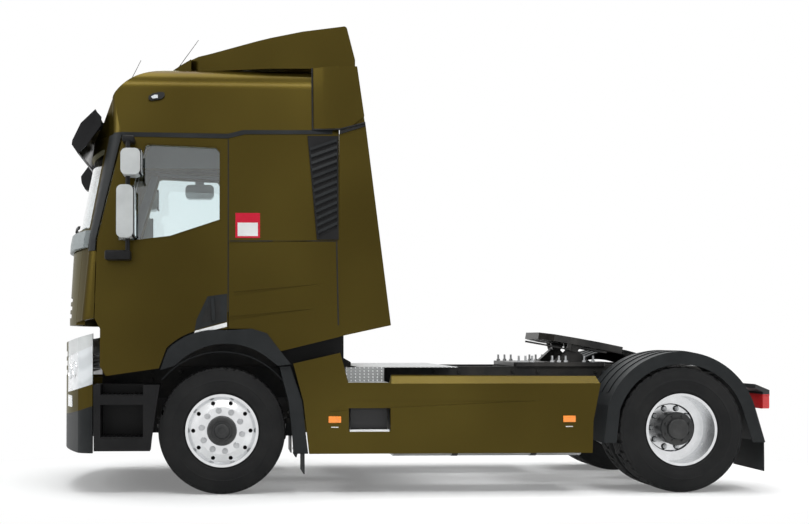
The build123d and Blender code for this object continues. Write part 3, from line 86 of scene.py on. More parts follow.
def white_rays(tree):
    path = finish_node(tree, "LightPath", {})
    seen = finish_node(tree, "Math", {0: path["Is Camera Ray"], 1: path["Is Transmission Ray"]},
                       operation="MAXIMUM")
    white = finish_node(tree, "Math", {0: seen["Value"], 1: path["Is Glossy Ray"]}, operation="MAXIMUM")
    return white["Value"]
floor_mesh = bmesh.new()
bmesh.ops.create_grid(floor_mesh, x_segments=2, y_segments=2, size=40.0)
floor_data = bpy.data.meshes.new("studio_floor")
floor_mesh.to_mesh(floor_data)
floor_mesh.free()
studio_floor = bpy.data.objects.new("studio_floor", floor_data)
scene.collection.objects.link(studio_floor)
floor_paper = bpy.data.materials.new("studio_paper")
floor_paper.use_nodes = True
tree = floor_paper.node_tree
tree.nodes.clear()
place = finish_node(tree, "TexCoord", {})
spread = finish_node(tree, "Mapping", {"Vector": place["Object"], "Scale": (1 / 3.9, 1 / 2.35, 1.0)})
reach = finish_node(tree, "VectorMath", {0: spread["Vector"]}, operation="LENGTH")
fade = finish_node(tree, "MapRange", {"Value": reach["Value"], "From Min": 0.78, "From Max": 1.25,
                                      "To Min": 0.20}, interpolation_type="SMOOTHSTEP")
matt = finish_node(tree, "BsdfDiffuse", {"Color": (0.86, 0.87, 0.87, 1.0)})
glow = finish_node(tree, "Emission", {"Color": (1.0, 1.0, 1.0, 1.0), "Strength": 1.0})
far = finish_node(tree, "Math", {0: fade["Result"], 1: white_rays(tree)}, operation="MULTIPLY")
paper = finish_node(tree, "MixShader", {"Fac": far["Value"], 1: matt["BSDF"], 2: glow["Emission"]})
finish_node(tree, "OutputMaterial", {"Surface": paper["Shader"]})
floor_data.materials.append(floor_paper)

world = bpy.data.worlds.new("studio")
scene.world = world
world.use_nodes = True
tree = world.node_tree
tree.nodes.clear()
white_share = white_rays(tree)
upward = finish_node(tree, "TexCoord", {})
height = finish_node(tree, "SeparateXYZ", {"Vector": upward["Generated"]})
sky = toned(tree, height["Z"], (0.14, 0.14, 0.14), (1.0, 1.0, 1.0), 0.0, 0.80)
horizon = sky.color_ramp.elements.new(0.28)
horizon.color = (0.09, 0.09, 0.09, 1.0)
dim_sky = finish_node(tree, "Background", {"Color": sky.outputs["Color"], "Strength": 0.60})
white = finish_node(tree, "Background", {"Color": (1.0, 1.0, 1.0, 1.0), "Strength": 1.0})
backdrop = finish_node(tree, "MixShader", {"Fac": white_share, 1: dim_sky["Background"],
                                           2: white["Background"]})
finish_node(tree, "OutputWorld", {"Surface": backdrop["Shader"]})

lamp_table = [
    # name, place, aimed at, width, depth, watts
    ("overhead", (0.0, -0.4, 7.5), (0.0, 0.0, 1.0), 10.0, 4.0, 700.0),
    ("near_side", (0.3, 6.4, 8.5), (0.0, 0.6, 1.0), 11.0, 1.6, 420.0),
    ("front_side", (9.0, 3.0, 5.0), (2.0, 0.0, 1.6), 4.0, 4.0, 200.0),
    ("rear_side", (-9.0, 4.0, 4.5), (-2.0, 0.0, 1.0), 4.0, 4.0, 120.0),
    ("far_side", (0.0, -7.0, 8.5), (0.0, 0.0, 1.4), 8.0, 2.0, 200.0)]
for name, lamp_place, aim, width, depth, watts in lamp_table:
    lamp_data = bpy.data.lights.new(name, "AREA")
    lamp_data.shape = "RECTANGLE"
    lamp_data.size = width
    lamp_data.size_y = depth
    lamp_data.energy = watts
    lamp = bpy.data.objects.new(name, lamp_data)
    lamp.location = lamp_place
    lamp.rotation_euler = (Vector(aim) - Vector(lamp_place)).to_track_quat("-Z", "Y").to_euler()
    scene.collection.objects.link(lamp)


# Ladder frame and axles: pressed steel channel and forged steel, dipped and painted black,
# with a little road dust that dulls it in patches.
def new_finish(name):
    material = bpy.data.materials.new(name)
    material.use_nodes = True
    tree = material.node_tree
    place = finish_node(tree, "TexCoord", {})
    return material, tree, tree.nodes["Principled BSDF"], place["Object"]


def coated(name, colour, worn, roughness, grain, depth, metallic=0.0):
    material, tree, shader, place = new_finish(name)
    cloud = finish_node(tree, "TexNoise", {"Vector": place, "Scale": 3.5, "Detail": 6.0, "Roughness": 0.62})
    tones = toned(tree, cloud["Fac"], colour, worn, 0.38, 0.72)
    dull = finish_node(tree, "MapRange", {"Value": cloud["Fac"], "To Min": roughness - 0.07,
                                          "To Max": roughness + 0.10})
    skin = finish_node(tree, "TexNoise", {"Vector": place, "Scale": grain, "Detail": 3.0})
    bump = finish_node(tree, "Bump", {"Height": skin["Fac"], "Strength": 0.5, "Distance": depth})
    wire(tree, shader, {"Base Color": tones.outputs["Color"], "Metallic": metallic,
                        "Specular IOR Level": 0.18 if metallic < 0.2 else 0.5,
                        "Roughness": dull["Result"], "Normal": bump["Normal"]})
    return material


def dress(node, material):
    mesh = nodes[node].data
    mesh.materials.clear()
    mesh.materials.append(material)


chassis_black = coated("chassis_black", (0.012, 0.013, 0.014), (0.040, 0.038, 0.034), roughness=0.48,
                       grain=90.0, depth=0.0006)
for name in ("frame", "front_axle", "rear_axle", "knuckle_left", "knuckle_right"):
    dress(name, chassis_black)


# Frame bolts: flanged hexagon bolts in rows of three, holding the cross members and brackets to
# the rails, turned from bar and phosphated black.
def tapered_rod(mesh, start, end, radius1, radius2, segments=10):
    axis = Vector(end) - Vector(start)
    turn = axis.to_track_quat("Z", "Y").to_matrix().to_4x4()
    place = Matrix.Translation((Vector(start) + Vector(end)) / 2.0) @ turn
    bmesh.ops.create_cone(mesh, cap_ends=True, segments=segments, radius1=radius1, radius2=radius2,
                          depth=axis.length, matrix=place)


def hex_bolts(mesh, places, facing, across, height):
    for place in places:
        washer_top = Vector(place) + Vector(facing) * 0.004
        tapered_rod(mesh, place, washer_top, across * 0.72, across * 0.66, 14)
        tapered_rod(mesh, washer_top, washer_top + Vector(facing) * height, across * 0.56, across * 0.52, 6)


def fit_piece(mesh, name, body, material, crease=38.0):
    bmesh.ops.remove_doubles(mesh, verts=mesh.verts, dist=0.00003)
    bmesh.ops.recalc_face_normals(mesh, faces=mesh.faces)
    data = bpy.data.meshes.new(name)
    mesh.to_mesh(data)
    mesh.free()
    data.shade_smooth()
    data.set_sharp_from_angle(angle=math.radians(crease))
    data.materials.append(material)
    piece = bpy.data.objects.new(name, data)
    scene.collection.objects.link(piece)
    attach(piece, body)
    return piece


rail_outer = 0.435
bolt_places = []
for x in (-1.90, -1.72, -1.20, -0.98, -0.50, -0.28, 0.62, 0.84, 1.95, 2.20):
    bolt_places += [(x, z) for z in (0.845, 0.915, 0.985)]
mesh = bmesh.new()
for side in (1.0, -1.0):
    places = [(x, side * rail_outer, z) for x, z in bolt_places]
    hex_bolts(mesh, places, (0.0, side, 0.0), across=0.026, height=0.012)
fit_piece(mesh, "frame_bolts", "chassis", chassis_black)

# Suspension: leaf springs, with rubber bellows on steel bearers at the rear, bolted up under the
# rails. One dull black finish stands for the rubber and the paint.
bellows_rubber = coated("bellows_rubber", (0.016, 0.016, 0.016), (0.045, 0.043, 0.040), roughness=0.68,
                        grain=160.0, depth=0.0004)
dress("suspension", bellows_rubber)

# Powertrain: engine and gearbox of cast iron dark with oil, hung between the rails with the
# radiator ahead of them. All are plain blocks in one cast grey here.
cast_grey = coated("cast_grey", (0.055, 0.056, 0.058), (0.110, 0.105, 0.095), roughness=0.62, grain=60.0,
                   depth=0.0012, metallic=0.35)
dress("powertrain", cast_grey)

# Wheels: forged aluminium, turned on a lathe and polished, so tone and gloss drift a little over
# each. The twin rims of a rear hub are one piece.
polished_rim, tree, shader, place = new_finish("polished_rim")
turned = finish_node(tree, "TexNoise", {"Vector": place, "Scale": 9.0, "Detail": 8.0})
tones = toned(tree, turned["Fac"], (0.60, 0.61, 0.62), (0.86, 0.87, 0.88))
dull = finish_node(tree, "MapRange", {"Value": turned["Fac"], "To Min": 0.14, "To Max": 0.34})
wire(tree, shader, {"Base Color": tones.outputs["Color"], "Metallic": 1.0, "Roughness": dull["Result"]})
for name in ("rim_front_left", "rim_front_right", "rims_rear_left", "rims_rear_right"):
    dress(name, polished_rim)

# Wheel nuts: ten two-piece nuts to a wheel on a 335 mm circle, zinc plated, with the studs'
# ends standing out of them and small black pointers clipped on at the rear.
plated_steel = coated("plated_steel", (0.38, 0.39, 0.40), (0.60, 0.61, 0.62), roughness=0.30, grain=70.0,
                      depth=0.0003, metallic=0.9)
pointer_black = coated("pointer_black", (0.012, 0.012, 0.013), (0.030, 0.030, 0.030), roughness=0.45,
                       grain=200.0, depth=0.0003)
stud_circle = 0.1675
nut_faces = [
    # wheel body, axle x, face y, nuts' side, first angle
    ("front_left_wheel", front_axle_x, 1.166, 1.0, 9.0),
    ("front_right_wheel", front_axle_x, -1.166, -1.0, 9.0),
    ("rear_left_wheel", rear_axle_x, 0.934, 1.0, 0.0),
    ("rear_right_wheel", rear_axle_x, -0.934, -1.0, 0.0)]
for body, axle_x, face_y, side, first in nut_faces:
    nuts = bmesh.new()
    pointers = bmesh.new()
    out = Vector((0.0, side, 0.0))
    for number in range(10):
        angle = math.radians(first + 36.0 * number)
        outward = Vector((math.cos(angle), 0.0, math.sin(angle)))
        place = Vector((axle_x, face_y, hub_z)) + outward * stud_circle
        hex_bolts(nuts, [place], out, across=0.036, height=0.024)
        tapered_rod(nuts, place + out * 0.027, place + out * 0.041, 0.011, 0.009, 12)
        if axle_x == rear_axle_x:
            collar_top = place + out * 0.014
            tapered_rod(pointers, collar_top + outward * 0.001, collar_top + outward * 0.035, 0.017, 0.002, 4)
            tapered_rod(pointers, place + out * 0.004, collar_top, 0.0245, 0.022, 16)
    fit_piece(nuts, "wheel_nuts_" + body, body, plated_steel)
    if axle_x == rear_axle_x:
        fit_piece(pointers, "nut_pointers_" + body, body, pointer_black)
    else:
        pointers.free()


# Hub ends: cast hubs painted black, each turned as one profile, with a bolted flange and a
# raised oil cap in the middle.
def turned_ring(mesh, profile, axle_x, steps):
    corners = [mesh.verts.new((axle_x, y, hub_z + radius)) for radius, y in profile]
    edges = [mesh.edges.new(pair) for pair in zip(corners, corners[1:])]
    bmesh.ops.spin(mesh, geom=corners + edges, cent=(axle_x, 0.0, hub_z), axis=(0.0, 1.0, 0.0),
                   angle=math.radians(360.0), steps=steps, use_merge=True)
    bmesh.ops.remove_doubles(mesh, verts=mesh.verts, dist=0.00003)


hub_black = coated("hub_black", (0.013, 0.014, 0.015), (0.045, 0.045, 0.044), roughness=0.42, grain=80.0,
                   depth=0.0006, metallic=0.2)
hub_table = [
    # end, axle x, radius and face y of the flange bolts, profile of radius and y
    ("front", front_axle_x, 0.098, 1.2100,
     [(0.1190, 1.1668), (0.1225, 1.1668), (0.1225, 1.1740), (0.1185, 1.1790), (0.1150, 1.2085),
      (0.1090, 1.2125), (0.0840, 1.2125), (0.0800, 1.2090), (0.0640, 1.2090), (0.0600, 1.2230),
      (0.0520, 1.2290), (0.0300, 1.2290), (0.0270, 1.2260), (0.0, 1.2260)]),
    ("rear", rear_axle_x, 0.108, 1.1180,
     [(0.1335, 0.9350), (0.1335, 1.0900), (0.1400, 1.0960), (0.1400, 1.1090), (0.1360, 1.1150),
      (0.1260, 1.1180), (0.0900, 1.1180), (0.0860, 1.1230), (0.0840, 1.1430), (0.0760, 1.1480),
      (0.0440, 1.1480), (0.0400, 1.1450), (0.0, 1.1450)])]
hands = (("left", 1.0), ("right", -1.0))
for end, axle_x, circle, face_y, profile in hub_table:
    for word, side in hands:
        mesh = bmesh.new()
        turned_ring(mesh, [(radius, side * y) for radius, y in profile], axle_x, 48)
        places = []
        for number in range(8):
            angle = math.radians(22.5 + 45.0 * number)
            places.append((axle_x + circle * math.cos(angle), side * face_y,
                           hub_z + circle * math.sin(angle)))
        hex_bolts(mesh, places, (0.0, side, 0.0), across=0.017, height=0.008)
        corner = end + "_" + word
        fit_piece(mesh, "hub_end_" + corner, corner + "_wheel", hub_black)


# Tyres: black rubber, moulded with a rim protector and scuff rings. Four grooves run round the
# tread, with slots across the shoulders, and across every rib on the driven rear wheels.
def extruded(mesh, faces, keep):
    made = bmesh.ops.extrude_face_region(mesh, geom=faces, use_keep_orig=keep)["geom"]
    return [item for item in made if isinstance(item, bmesh.types.BMVert)]


tyre_rubber = coated("tyre_rubber", (0.0065, 0.0068, 0.0072), (0.015, 0.015, 0.015), roughness=0.60,
                     grain=140.0, depth=0.0004)
tyre_half = [
    # out from the middle of the tread, distance from the axle
    (0.0000, 0.5220), (0.0180, 0.5220), (0.0205, 0.5090), (0.0275, 0.5090), (0.0300, 0.5220),
    (0.0650, 0.5212), (0.0675, 0.5090), (0.0750, 0.5090), (0.0775, 0.5208), (0.1020, 0.5200),
    (0.1160, 0.5180), (0.1270, 0.5140), (0.1320, 0.5060), (0.1355, 0.4930), (0.1385, 0.4910),
    (0.1400, 0.4840), (0.1460, 0.4600), (0.1520, 0.4320), (0.1545, 0.4120), (0.1560, 0.4095),
    (0.1560, 0.4060), (0.1540, 0.4030), (0.1545, 0.3850), (0.1520, 0.3600), (0.1470, 0.3400),
    (0.1440, 0.3290), (0.1450, 0.3240), (0.1430, 0.3180), (0.1375, 0.3130), (0.1310, 0.3075),
    (0.1245, 0.3010), (0.1228, 0.2910)]
tyre_section = [(-out, reach) for out, reach in reversed(tyre_half)] + tyre_half[1:]
tyre_table = [
    # node, wheel body, axle x, rows at y, steps round, steps to a slot, inner ribs slotted too
    ("tyre_front_left", "front_left_wheel", front_axle_x, (1.025,), 156, 3, False),
    ("tyre_front_right", "front_right_wheel", front_axle_x, (-1.025,), 156, 3, False),
    ("tyres_rear_left", "rear_left_wheel", rear_axle_x, (1.082, 0.738), 156, 4, True),
    ("tyres_rear_right", "rear_right_wheel", rear_axle_x, (-1.082, -0.738), 156, 4, True)]
for node, body, axle_x, rows, steps, pitch, lugged in tyre_table:
    mesh = bmesh.new()
    for row_y in rows:
        turned_ring(mesh, [(reach, row_y + out) for out, reach in tyre_section], axle_x, steps)
    slots = []
    for face in mesh.faces:
        middle = face.calc_center_median()
        row_y = min(rows, key=lambda y: abs(y - middle.y))
        out = abs(middle.y - row_y)
        reach = math.hypot(middle.x - axle_x, middle.z - hub_z)
        turn = math.atan2(middle.z - hub_z, middle.x - axle_x) / (2.0 * math.pi) * steps
        shift = 1 if middle.y > row_y else 0
        on_rib = out > 0.078 or (lugged and (out < 0.018 or 0.031 < out < 0.065))
        if reach > 0.509 and on_rib and (int(turn + steps) + shift * 2) % pitch == 0:
            slots.append(face)
    for vertex in extruded(mesh, slots, False):
        inward = Vector((axle_x - vertex.co.x, 0.0, hub_z - vertex.co.z)).normalized()
        vertex.co += inward * 0.009
    tyre = fit_piece(mesh, "moulded_" + node, body, tyre_rubber, 32.0)
    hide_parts(node)

# Fifth wheel: a cast steel plate that rocks on a welded bracket, bolted across the rails. Both are
# painted black, with a film of grease on the plate.
greased_steel = coated("greased_steel", (0.014, 0.014, 0.015), (0.055, 0.052, 0.048), roughness=0.36,
                       grain=45.0, depth=0.0008, metallic=0.45)
for name in ("fifth_wheel_base", "fifth_wheel_plate"):
    dress(name, greased_steel)

# Fifth wheel fixings: zinc-plated hexagon bolts down through the mounting plate's flanges, each
# with the end of its thread standing up.
mesh = bmesh.new()
for side in (1.0, -1.0):
    for x in (-1.035, -1.095, -1.155, -1.335, -1.395, -1.455, -1.62, -1.70):
        place = (x, side * 0.425, 1.056)
        hex_bolts(mesh, [place], (0.0, 0.0, 1.0), across=0.034, height=0.022)
        stem = Matrix.Translation((x, side * 0.425, 1.096))
        bmesh.ops.create_cone(mesh, cap_ends=True, segments=10, radius1=0.010, radius2=0.009, depth=0.055,
                              matrix=stem)
fit_piece(mesh, "mounting_bolts", "chassis", plated_steel)

# Catwalk: rolled aluminium tread plate over the rails behind the cab, screwed to brackets. Its
# raised studs stand in slanting rows.
checker, tree, shader, place = new_finish("checker_plate")
slant = finish_node(tree, "Mapping", {"Vector": place, "Rotation": (0.0, 0.0, math.radians(45.0)),
                                      "Scale": (38.0, 38.0, 38.0)})
stud = finish_node(tree, "TexVoronoi", {"Vector": slant["Vector"], "Randomness": 0.0, "Scale": 1.0},
                   feature="F1")
raised = toned(tree, stud["Distance"], (1.0, 1.0, 1.0), (0.0, 0.0, 0.0), 0.22, 0.34).outputs["Color"]
tones = finish_node(tree, "Mix", {"Factor": raised, "A": (0.36, 0.37, 0.37, 1.0),
                                  "B": (0.78, 0.79, 0.80, 1.0)}, data_type="RGBA")
bump = finish_node(tree, "Bump", {"Height": raised, "Strength": 0.8, "Distance": 0.003})
wire(tree, shader, {"Base Color": tones["Result"], "Metallic": 0.9, "Roughness": 0.38,
                    "Normal": bump["Normal"]})
dress("catwalk", checker)


# Tanks: the fuel tanks are rolled aluminium, brushed along their length, and the small ones
# ahead of them are moulded in black plastic.
def second_finish(material, axis, level, colour, roughness):
    tree = material.node_tree
    other = finish_node(tree, "BsdfPrincipled", {"Base Color": (*colour, 1.0), "Roughness": roughness})
    place = finish_node(tree, "TexCoord", {})
    split = finish_node(tree, "SeparateXYZ", {"Vector": place["Object"]})
    beyond = finish_node(tree, "Math", {0: split[axis], 1: level}, operation="GREATER_THAN")
    shader = tree.nodes["Principled BSDF"]
    both = finish_node(tree, "MixShader", {"Fac": beyond["Value"], 1: shader.outputs["BSDF"],
                                           2: other["BSDF"]})
    wire(tree, tree.nodes["Material Output"], {"Surface": both["Shader"]})

tank_skin = coated("tank_skin", (0.42, 0.43, 0.44), (0.58, 0.58, 0.58), roughness=0.36, grain=25.0,
                   depth=0.0004, metallic=0.9)
second_finish(tank_skin, "X", 0.20, (0.016, 0.016, 0.017), 0.55)
dress("tanks", tank_skin)

# Tank straps: pressed steel bands painted black, drawn tight round the tanks. Each is a rounded
# box that stands a few millimetres out of its tank.
mesh = bmesh.new()
for side in (1.0, -1.0):
    for x in (-1.78, -1.00, -0.34):
        strap = Matrix.Translation((x, side * 0.830, 0.590)) @ Matrix.Diagonal((0.050, 0.626, 0.586, 1.0))
        made = bmesh.ops.create_cube(mesh, size=1.0, matrix=strap)
        along = [edge for edge in {edge for vertex in made["verts"] for edge in vertex.link_edges}
                 if abs(edge.verts[0].co.x - edge.verts[1].co.x) > 0.02]
        bmesh.ops.bevel(mesh, geom=along, offset=0.112, offset_type="OFFSET", segments=6, profile=0.5,
                        affect="EDGES", material=-1)
fit_piece(mesh, "tank_straps", "chassis", chassis_black)

# Painted panels: steel and moulded panels in a metallic bronze-olive lacquer. Fine flakes
# catch the light, and a clear coat over them gives the sharp reflections.
bronze_lacquer, tree, shader, place = new_finish("bronze_lacquer")
flakes = finish_node(tree, "TexVoronoi", {"Vector": place, "Scale": 700.0})
drift = finish_node(tree, "TexNoise", {"Vector": place, "Scale": 0.7, "Detail": 2.0})
lacquer = toned(tree, drift["Fac"], (0.046, 0.0325, 0.0050), (0.082, 0.0605, 0.0110), 0.25, 0.75)
glint = finish_node(tree, "Mix", {"Factor": 0.10, "A": lacquer.outputs["Color"], "B": flakes["Color"]},
                    data_type="RGBA", blend_type="OVERLAY")
gloss = finish_node(tree, "MapRange", {"Value": drift["Fac"], "To Min": 0.29, "To Max": 0.35})
bump = finish_node(tree, "Bump", {"Height": flakes["Distance"], "Strength": 0.10, "Distance": 0.0003})
wire(tree, shader, {"Base Color": glint["Result"], "Metallic": 0.80, "Specular IOR Level": 0.2,
                    "Specular Tint": (0.40, 0.39, 0.26, 1.0), "Coat Weight": 0.06, "Coat Roughness": 0.06,
                    "Roughness": gloss["Result"], "Normal": bump["Normal"]})
for name in ("side_skirts", "bumper", "front_flap", "cab_shell", "door_left", "door_right", "roof",
             "roof_deflector", "side_deflectors"):
    dress(name, bronze_lacquer)


# Side markers and skirt strips: amber lenses with moulded ribs, snapped into the skirts, with a
# small bright slot below each, and pale strips along the edges of the cut-out in each skirt.
def ribbed_lens(name, clear, deep, roughness, pitch, glow):
    material, tree, shader, place = new_finish(name)
    ribs = finish_node(tree, "TexWave", {"Vector": place, "Scale": pitch, "Distortion": 0.6},
                       wave_type="BANDS", bands_direction="DIAGONAL")
    tones = toned(tree, ribs["Fac"], deep, clear, 0.25, 0.80).outputs["Color"]
    bump = finish_node(tree, "Bump", {"Height": ribs["Fac"], "Strength": 0.35, "Distance": 0.001})
    wire(tree, shader, {"Base Color": tones, "Emission Color": tones, "Emission Strength": glow,
                        "Roughness": roughness, "Coat Weight": 0.8, "Coat Roughness": 0.03,
                        "Normal": bump["Normal"]})
    return material


def bevelled_block(mesh, low, high, rounding, segments=2):
    middle = (Vector(low) + Vector(high)) / 2.0
    span = Vector(high) - Vector(low)
    place = Matrix.Translation(middle) @ Matrix.Diagonal((abs(span.x), abs(span.y), abs(span.z), 1.0))
    made = bmesh.ops.create_cube(mesh, size=1.0, matrix=place)
    edges = list({edge for vertex in made["verts"] for edge in vertex.link_edges})
    bmesh.ops.bevel(mesh, geom=edges, offset=rounding, offset_type="OFFSET", segments=segments, profile=0.5,
                    affect="EDGES", material=-1)


amber_lens = ribbed_lens("amber_lens", (0.95, 0.30, 0.02), (0.70, 0.16, 0.005), 0.18, 60.0, 0.25)
white_strip = coated("white_strip", (0.72, 0.73, 0.73), (0.84, 0.85, 0.85), roughness=0.32, grain=120.0,
                     depth=0.0002)
lenses = bmesh.new()
slits = bmesh.new()
for side in (1.0, -1.0):
    for x in (0.670, -1.267):
        bevelled_block(lenses, (x - 0.052, side * 1.224, 0.588), (x + 0.052, side * 1.236, 0.642), 0.005)
        bevelled_block(slits, (x - 0.030, side * 1.224, 0.548), (x + 0.030, side * 1.228, 0.556), 0.0015, 1)
fit_piece(lenses, "side_markers", "chassis", amber_lens)
for x0, x1, z0, z1 in ((0.222, 0.548, 0.514, 0.532), (0.222, 0.552, 0.896, 0.914)):
    for side in (1.0, -1.0):
        reach = (1.190, 1.2275) if z0 < 0.6 else (1.020, 1.182)
        bevelled_block(slits, (x0, side * reach[0], z0), (x1, side * reach[1], z1), 0.003, 1)
fit_piece(slits, "skirt_edge_strips", "chassis", white_strip)

# Mouldings: plastic moulded in its colour with a fine grain, screwed or clipped on. It is charcoal
# round the wheels, grey on the cowl, and black for grilles, wipers, front mirror and steps.
charcoal_moulding = coated("charcoal_moulding", (0.010, 0.0115, 0.0125), (0.019, 0.021, 0.022),
                           roughness=0.50, grain=420.0, depth=0.0004)
for name in ("front_mudguards", "rear_fenders", "bumper_skirt", "arch_flares"):
    dress(name, charcoal_moulding)
cowl_grey = coated("cowl_grey", (0.20, 0.23, 0.235), (0.27, 0.30, 0.305), roughness=0.40, grain=60.0,
                   depth=0.0004)
dress("cowl", cowl_grey)
black_moulding = coated("black_moulding", (0.005, 0.005, 0.0055), (0.011, 0.011, 0.0115), roughness=0.45,
                        grain=380.0, depth=0.0003)
for name in ("intake_grilles", "wipers", "front_mirror", "step_boxes"):
    dress(name, black_moulding)

# Step treads: black moulded plates clipped into the two steps on each side, with nine ribs across
# each of them for grip.
mesh = bmesh.new()
for side in (1.0, -1.0):
    for z in (0.470, 0.815):
        bevelled_block(mesh, (2.232, side * 0.965, z - 0.002), (2.572, side * 1.208, z + 0.006), 0.002, 1)
        for number in range(9):
            x = 2.256 + 0.036 * number
            bevelled_block(mesh, (x, side * 0.985, z + 0.005), (x + 0.012, side * 1.196, z + 0.012), 0.003, 1)
fit_piece(mesh, "step_treads", "chassis", black_moulding)

# Grille blades: black moulded blades across the air way to the radiator, clipped in one over the
# other between the lamps.
mesh = bmesh.new()
for z in (0.985, 1.020, 1.055, 1.090, 1.125):
    bevelled_block(mesh, (2.740, -0.560, z - 0.006), (2.790, 0.560, z + 0.006), 0.004, 1)
fit_piece(mesh, "grille_blades", "chassis", black_moulding)

# Headlamps and brows: clear ribbed mouldings over their reflectors, screwed to the bumper, each
# under a brow lacquered silver.
silver_trim = coated("silver_trim", (0.52, 0.54, 0.54), (0.62, 0.64, 0.64), roughness=0.32, grain=300.0,
                     depth=0.0002, metallic=0.30)
dress("lamp_brows", silver_trim)
lamp_lens = ribbed_lens("lamp_lens", (0.70, 0.73, 0.75), (0.58, 0.61, 0.63), 0.10, 3.2, 0.02)
dress("headlamps", lamp_lens)

# Tail lamps: red lenses on dark moulded arms. The arms start above the lens, so the finish
# changes at that height.
tail_red = ribbed_lens("tail_red", (0.62, 0.010, 0.012), (0.34, 0.004, 0.006), 0.16, 45.0, 0.18)
second_finish(tail_red, "Z", 0.811, (0.016, 0.017, 0.018), 0.5)
dress("tail_lamps", tail_red)


# Fog lamps: small moulded lamps with a ribbed lens, let into the bumper's corners and curved
# with it.
def panel_face(carriers):
    corners = []
    faces = []
    for name in carriers:
        data = nodes[name].data
        start = len(corners)
        corners += [vertex.co.copy() for vertex in data.vertices]
        faces += [[start + index for index in face.vertices] for face in data.polygons]
    return BVHTree.FromPolygons(corners, faces)


nose = panel_face(["bumper"])
mesh = bmesh.new()
for side in (1.0, -1.0):
    across = Matrix.Translation((0.0, side * 0.775, 0.752)) @ Matrix.Rotation(math.radians(90.0), 4, "Y")
    lens = bmesh.ops.create_grid(mesh, x_segments=4, y_segments=8, size=0.5,
                                 matrix=across @ Matrix.Diagonal((0.096, 0.200, 1.0, 1.0)))["verts"]
    for vertex in lens:
        hit = nose.ray_cast(Vector((4.0, vertex.co.y, vertex.co.z)), Vector((-1.0, 0.0, 0.0)))[0]
        vertex.co.x = hit.x - 0.001
    lens_faces = list({face for vertex in lens for face in vertex.link_faces})
    for vertex in extruded(mesh, lens_faces, True):
        vertex.co.x += 0.006
fit_piece(mesh, "fog_lamps", "chassis", lamp_lens)

# Headlamp units: in each lamp two round projectors behind the lens, each a chromed ring, a
# dark throat and a glass dome, pressed and moulded.
chromed = coated("chromed_ring", (0.62, 0.63, 0.64), (0.80, 0.81, 0.82), roughness=0.10, grain=40.0,
                 depth=0.0001, metallic=1.0)
lamp_face = panel_face(["headlamps"])
rings = bmesh.new()
domes = bmesh.new()
lamp_radius = 0.062
for side in (1.0, -1.0):
    for y, z in ((0.790, 1.000), (0.965, 1.020)):
        spot, face_out = lamp_face.ray_cast(Vector((4.0, side * y, z)), Vector((-1.0, 0.0, 0.0)))[:2]
        place = Matrix.Translation(spot) @ face_out.to_track_quat("Z", "Y").to_matrix().to_4x4()
        corners = [rings.verts.new(place @ Vector((reach * lamp_radius, 0.0, rise)))
                   for reach, rise in ((1.12, -0.002), (1.10, 0.007), (1.0, 0.009), (0.86, -0.001))]
        edges = [rings.edges.new(pair) for pair in zip(corners, corners[1:])]
        bmesh.ops.spin(rings, geom=corners + edges, cent=spot, axis=face_out, angle=math.radians(360.0),
                       steps=32, use_merge=True)
        bmesh.ops.create_uvsphere(domes, u_segments=24, v_segments=12, radius=lamp_radius * 0.84,
                                  matrix=place @ Matrix.Diagonal((1.0, 1.0, 0.22, 1.0)))
fit_piece(rings, "lamp_rings", "chassis", chromed)
fit_piece(domes, "lamp_domes", "chassis", lamp_lens)


# Belt band: a charcoal moulding a few millimetres thick, pressed on along the joint of cab and
# roof. Like the other trim it is cut to an outline and shaped by the panel behind it.
def laid_trim(name, body, material, outline, carriers, side, thickness, inner=None, cell=0.045,
              start=2.2):
    behind = panel_face(carriers)
    out = side if start > 1.0 else -side
    mesh = bmesh.new()
    ring = [mesh.verts.new((front_axle_x + x / 1000.0, 0.0, z / 1000.0)) for x, z in outline]
    face = mesh.faces.new(ring)
    if inner:
        frame_faces = bmesh.ops.inset_region(mesh, faces=[face], thickness=inner, use_boundary=True,
                                             use_even_offset=True)["faces"]
        middle = [f for f in mesh.faces if f not in frame_faces]
        bmesh.ops.delete(mesh, geom=middle, context="FACES")
    low = Vector([min(v.co[axis] for v in mesh.verts) for axis in range(3)])
    high = Vector([max(v.co[axis] for v in mesh.verts) for axis in range(3)])
    for axis, normal in ((0, (1.0, 0.0, 0.0)), (2, (0.0, 0.0, 1.0))):
        for number in range(1, int((high[axis] - low[axis]) / cell) + 1):
            point = Vector((0.0, 0.0, 0.0))
            point[axis] = low[axis] + number * cell
            bmesh.ops.bisect_plane(mesh, geom=mesh.verts[:] + mesh.edges[:] + mesh.faces[:], plane_co=point,
                                   plane_no=normal, dist=0.0001)
    bmesh.ops.triangulate(mesh, faces=[f for f in mesh.faces if len(f.verts) > 4])
    missed = []
    depths = []
    for vertex in mesh.verts:
        toward = Vector((0.0, -out, 0.0))
        hit = behind.ray_cast(Vector((vertex.co.x, side * start, vertex.co.z)), toward)[0]
        if hit is None:
            missed.append(vertex)
        else:
            vertex.co.y = hit.y + toward.y * 0.001
            depths.append((vertex.co.copy(), vertex.co.y))
    for vertex in missed:
        near = min(depths, key=lambda item: (item[0].x - vertex.co.x) ** 2 + (item[0].z - vertex.co.z) ** 2)
        vertex.co.y = near[1]
    for vertex in extruded(mesh, mesh.faces[:], True):
        vertex.co.y += out * (thickness + 0.001)
    return fit_piece(mesh, name, body, material, 30.0)


band_line = [(890, 2962), (-46, 2952), (-169, 2985), (-905, 2990), (-905, 2956), (-186, 2950), (-46, 2915),
             (880, 2926)]
for word, side in hands:
    laid_trim("belt_band_" + word, "cab", charcoal_moulding, band_line,
              ["cab_shell", "roof", "door_" + word], side, 0.007)

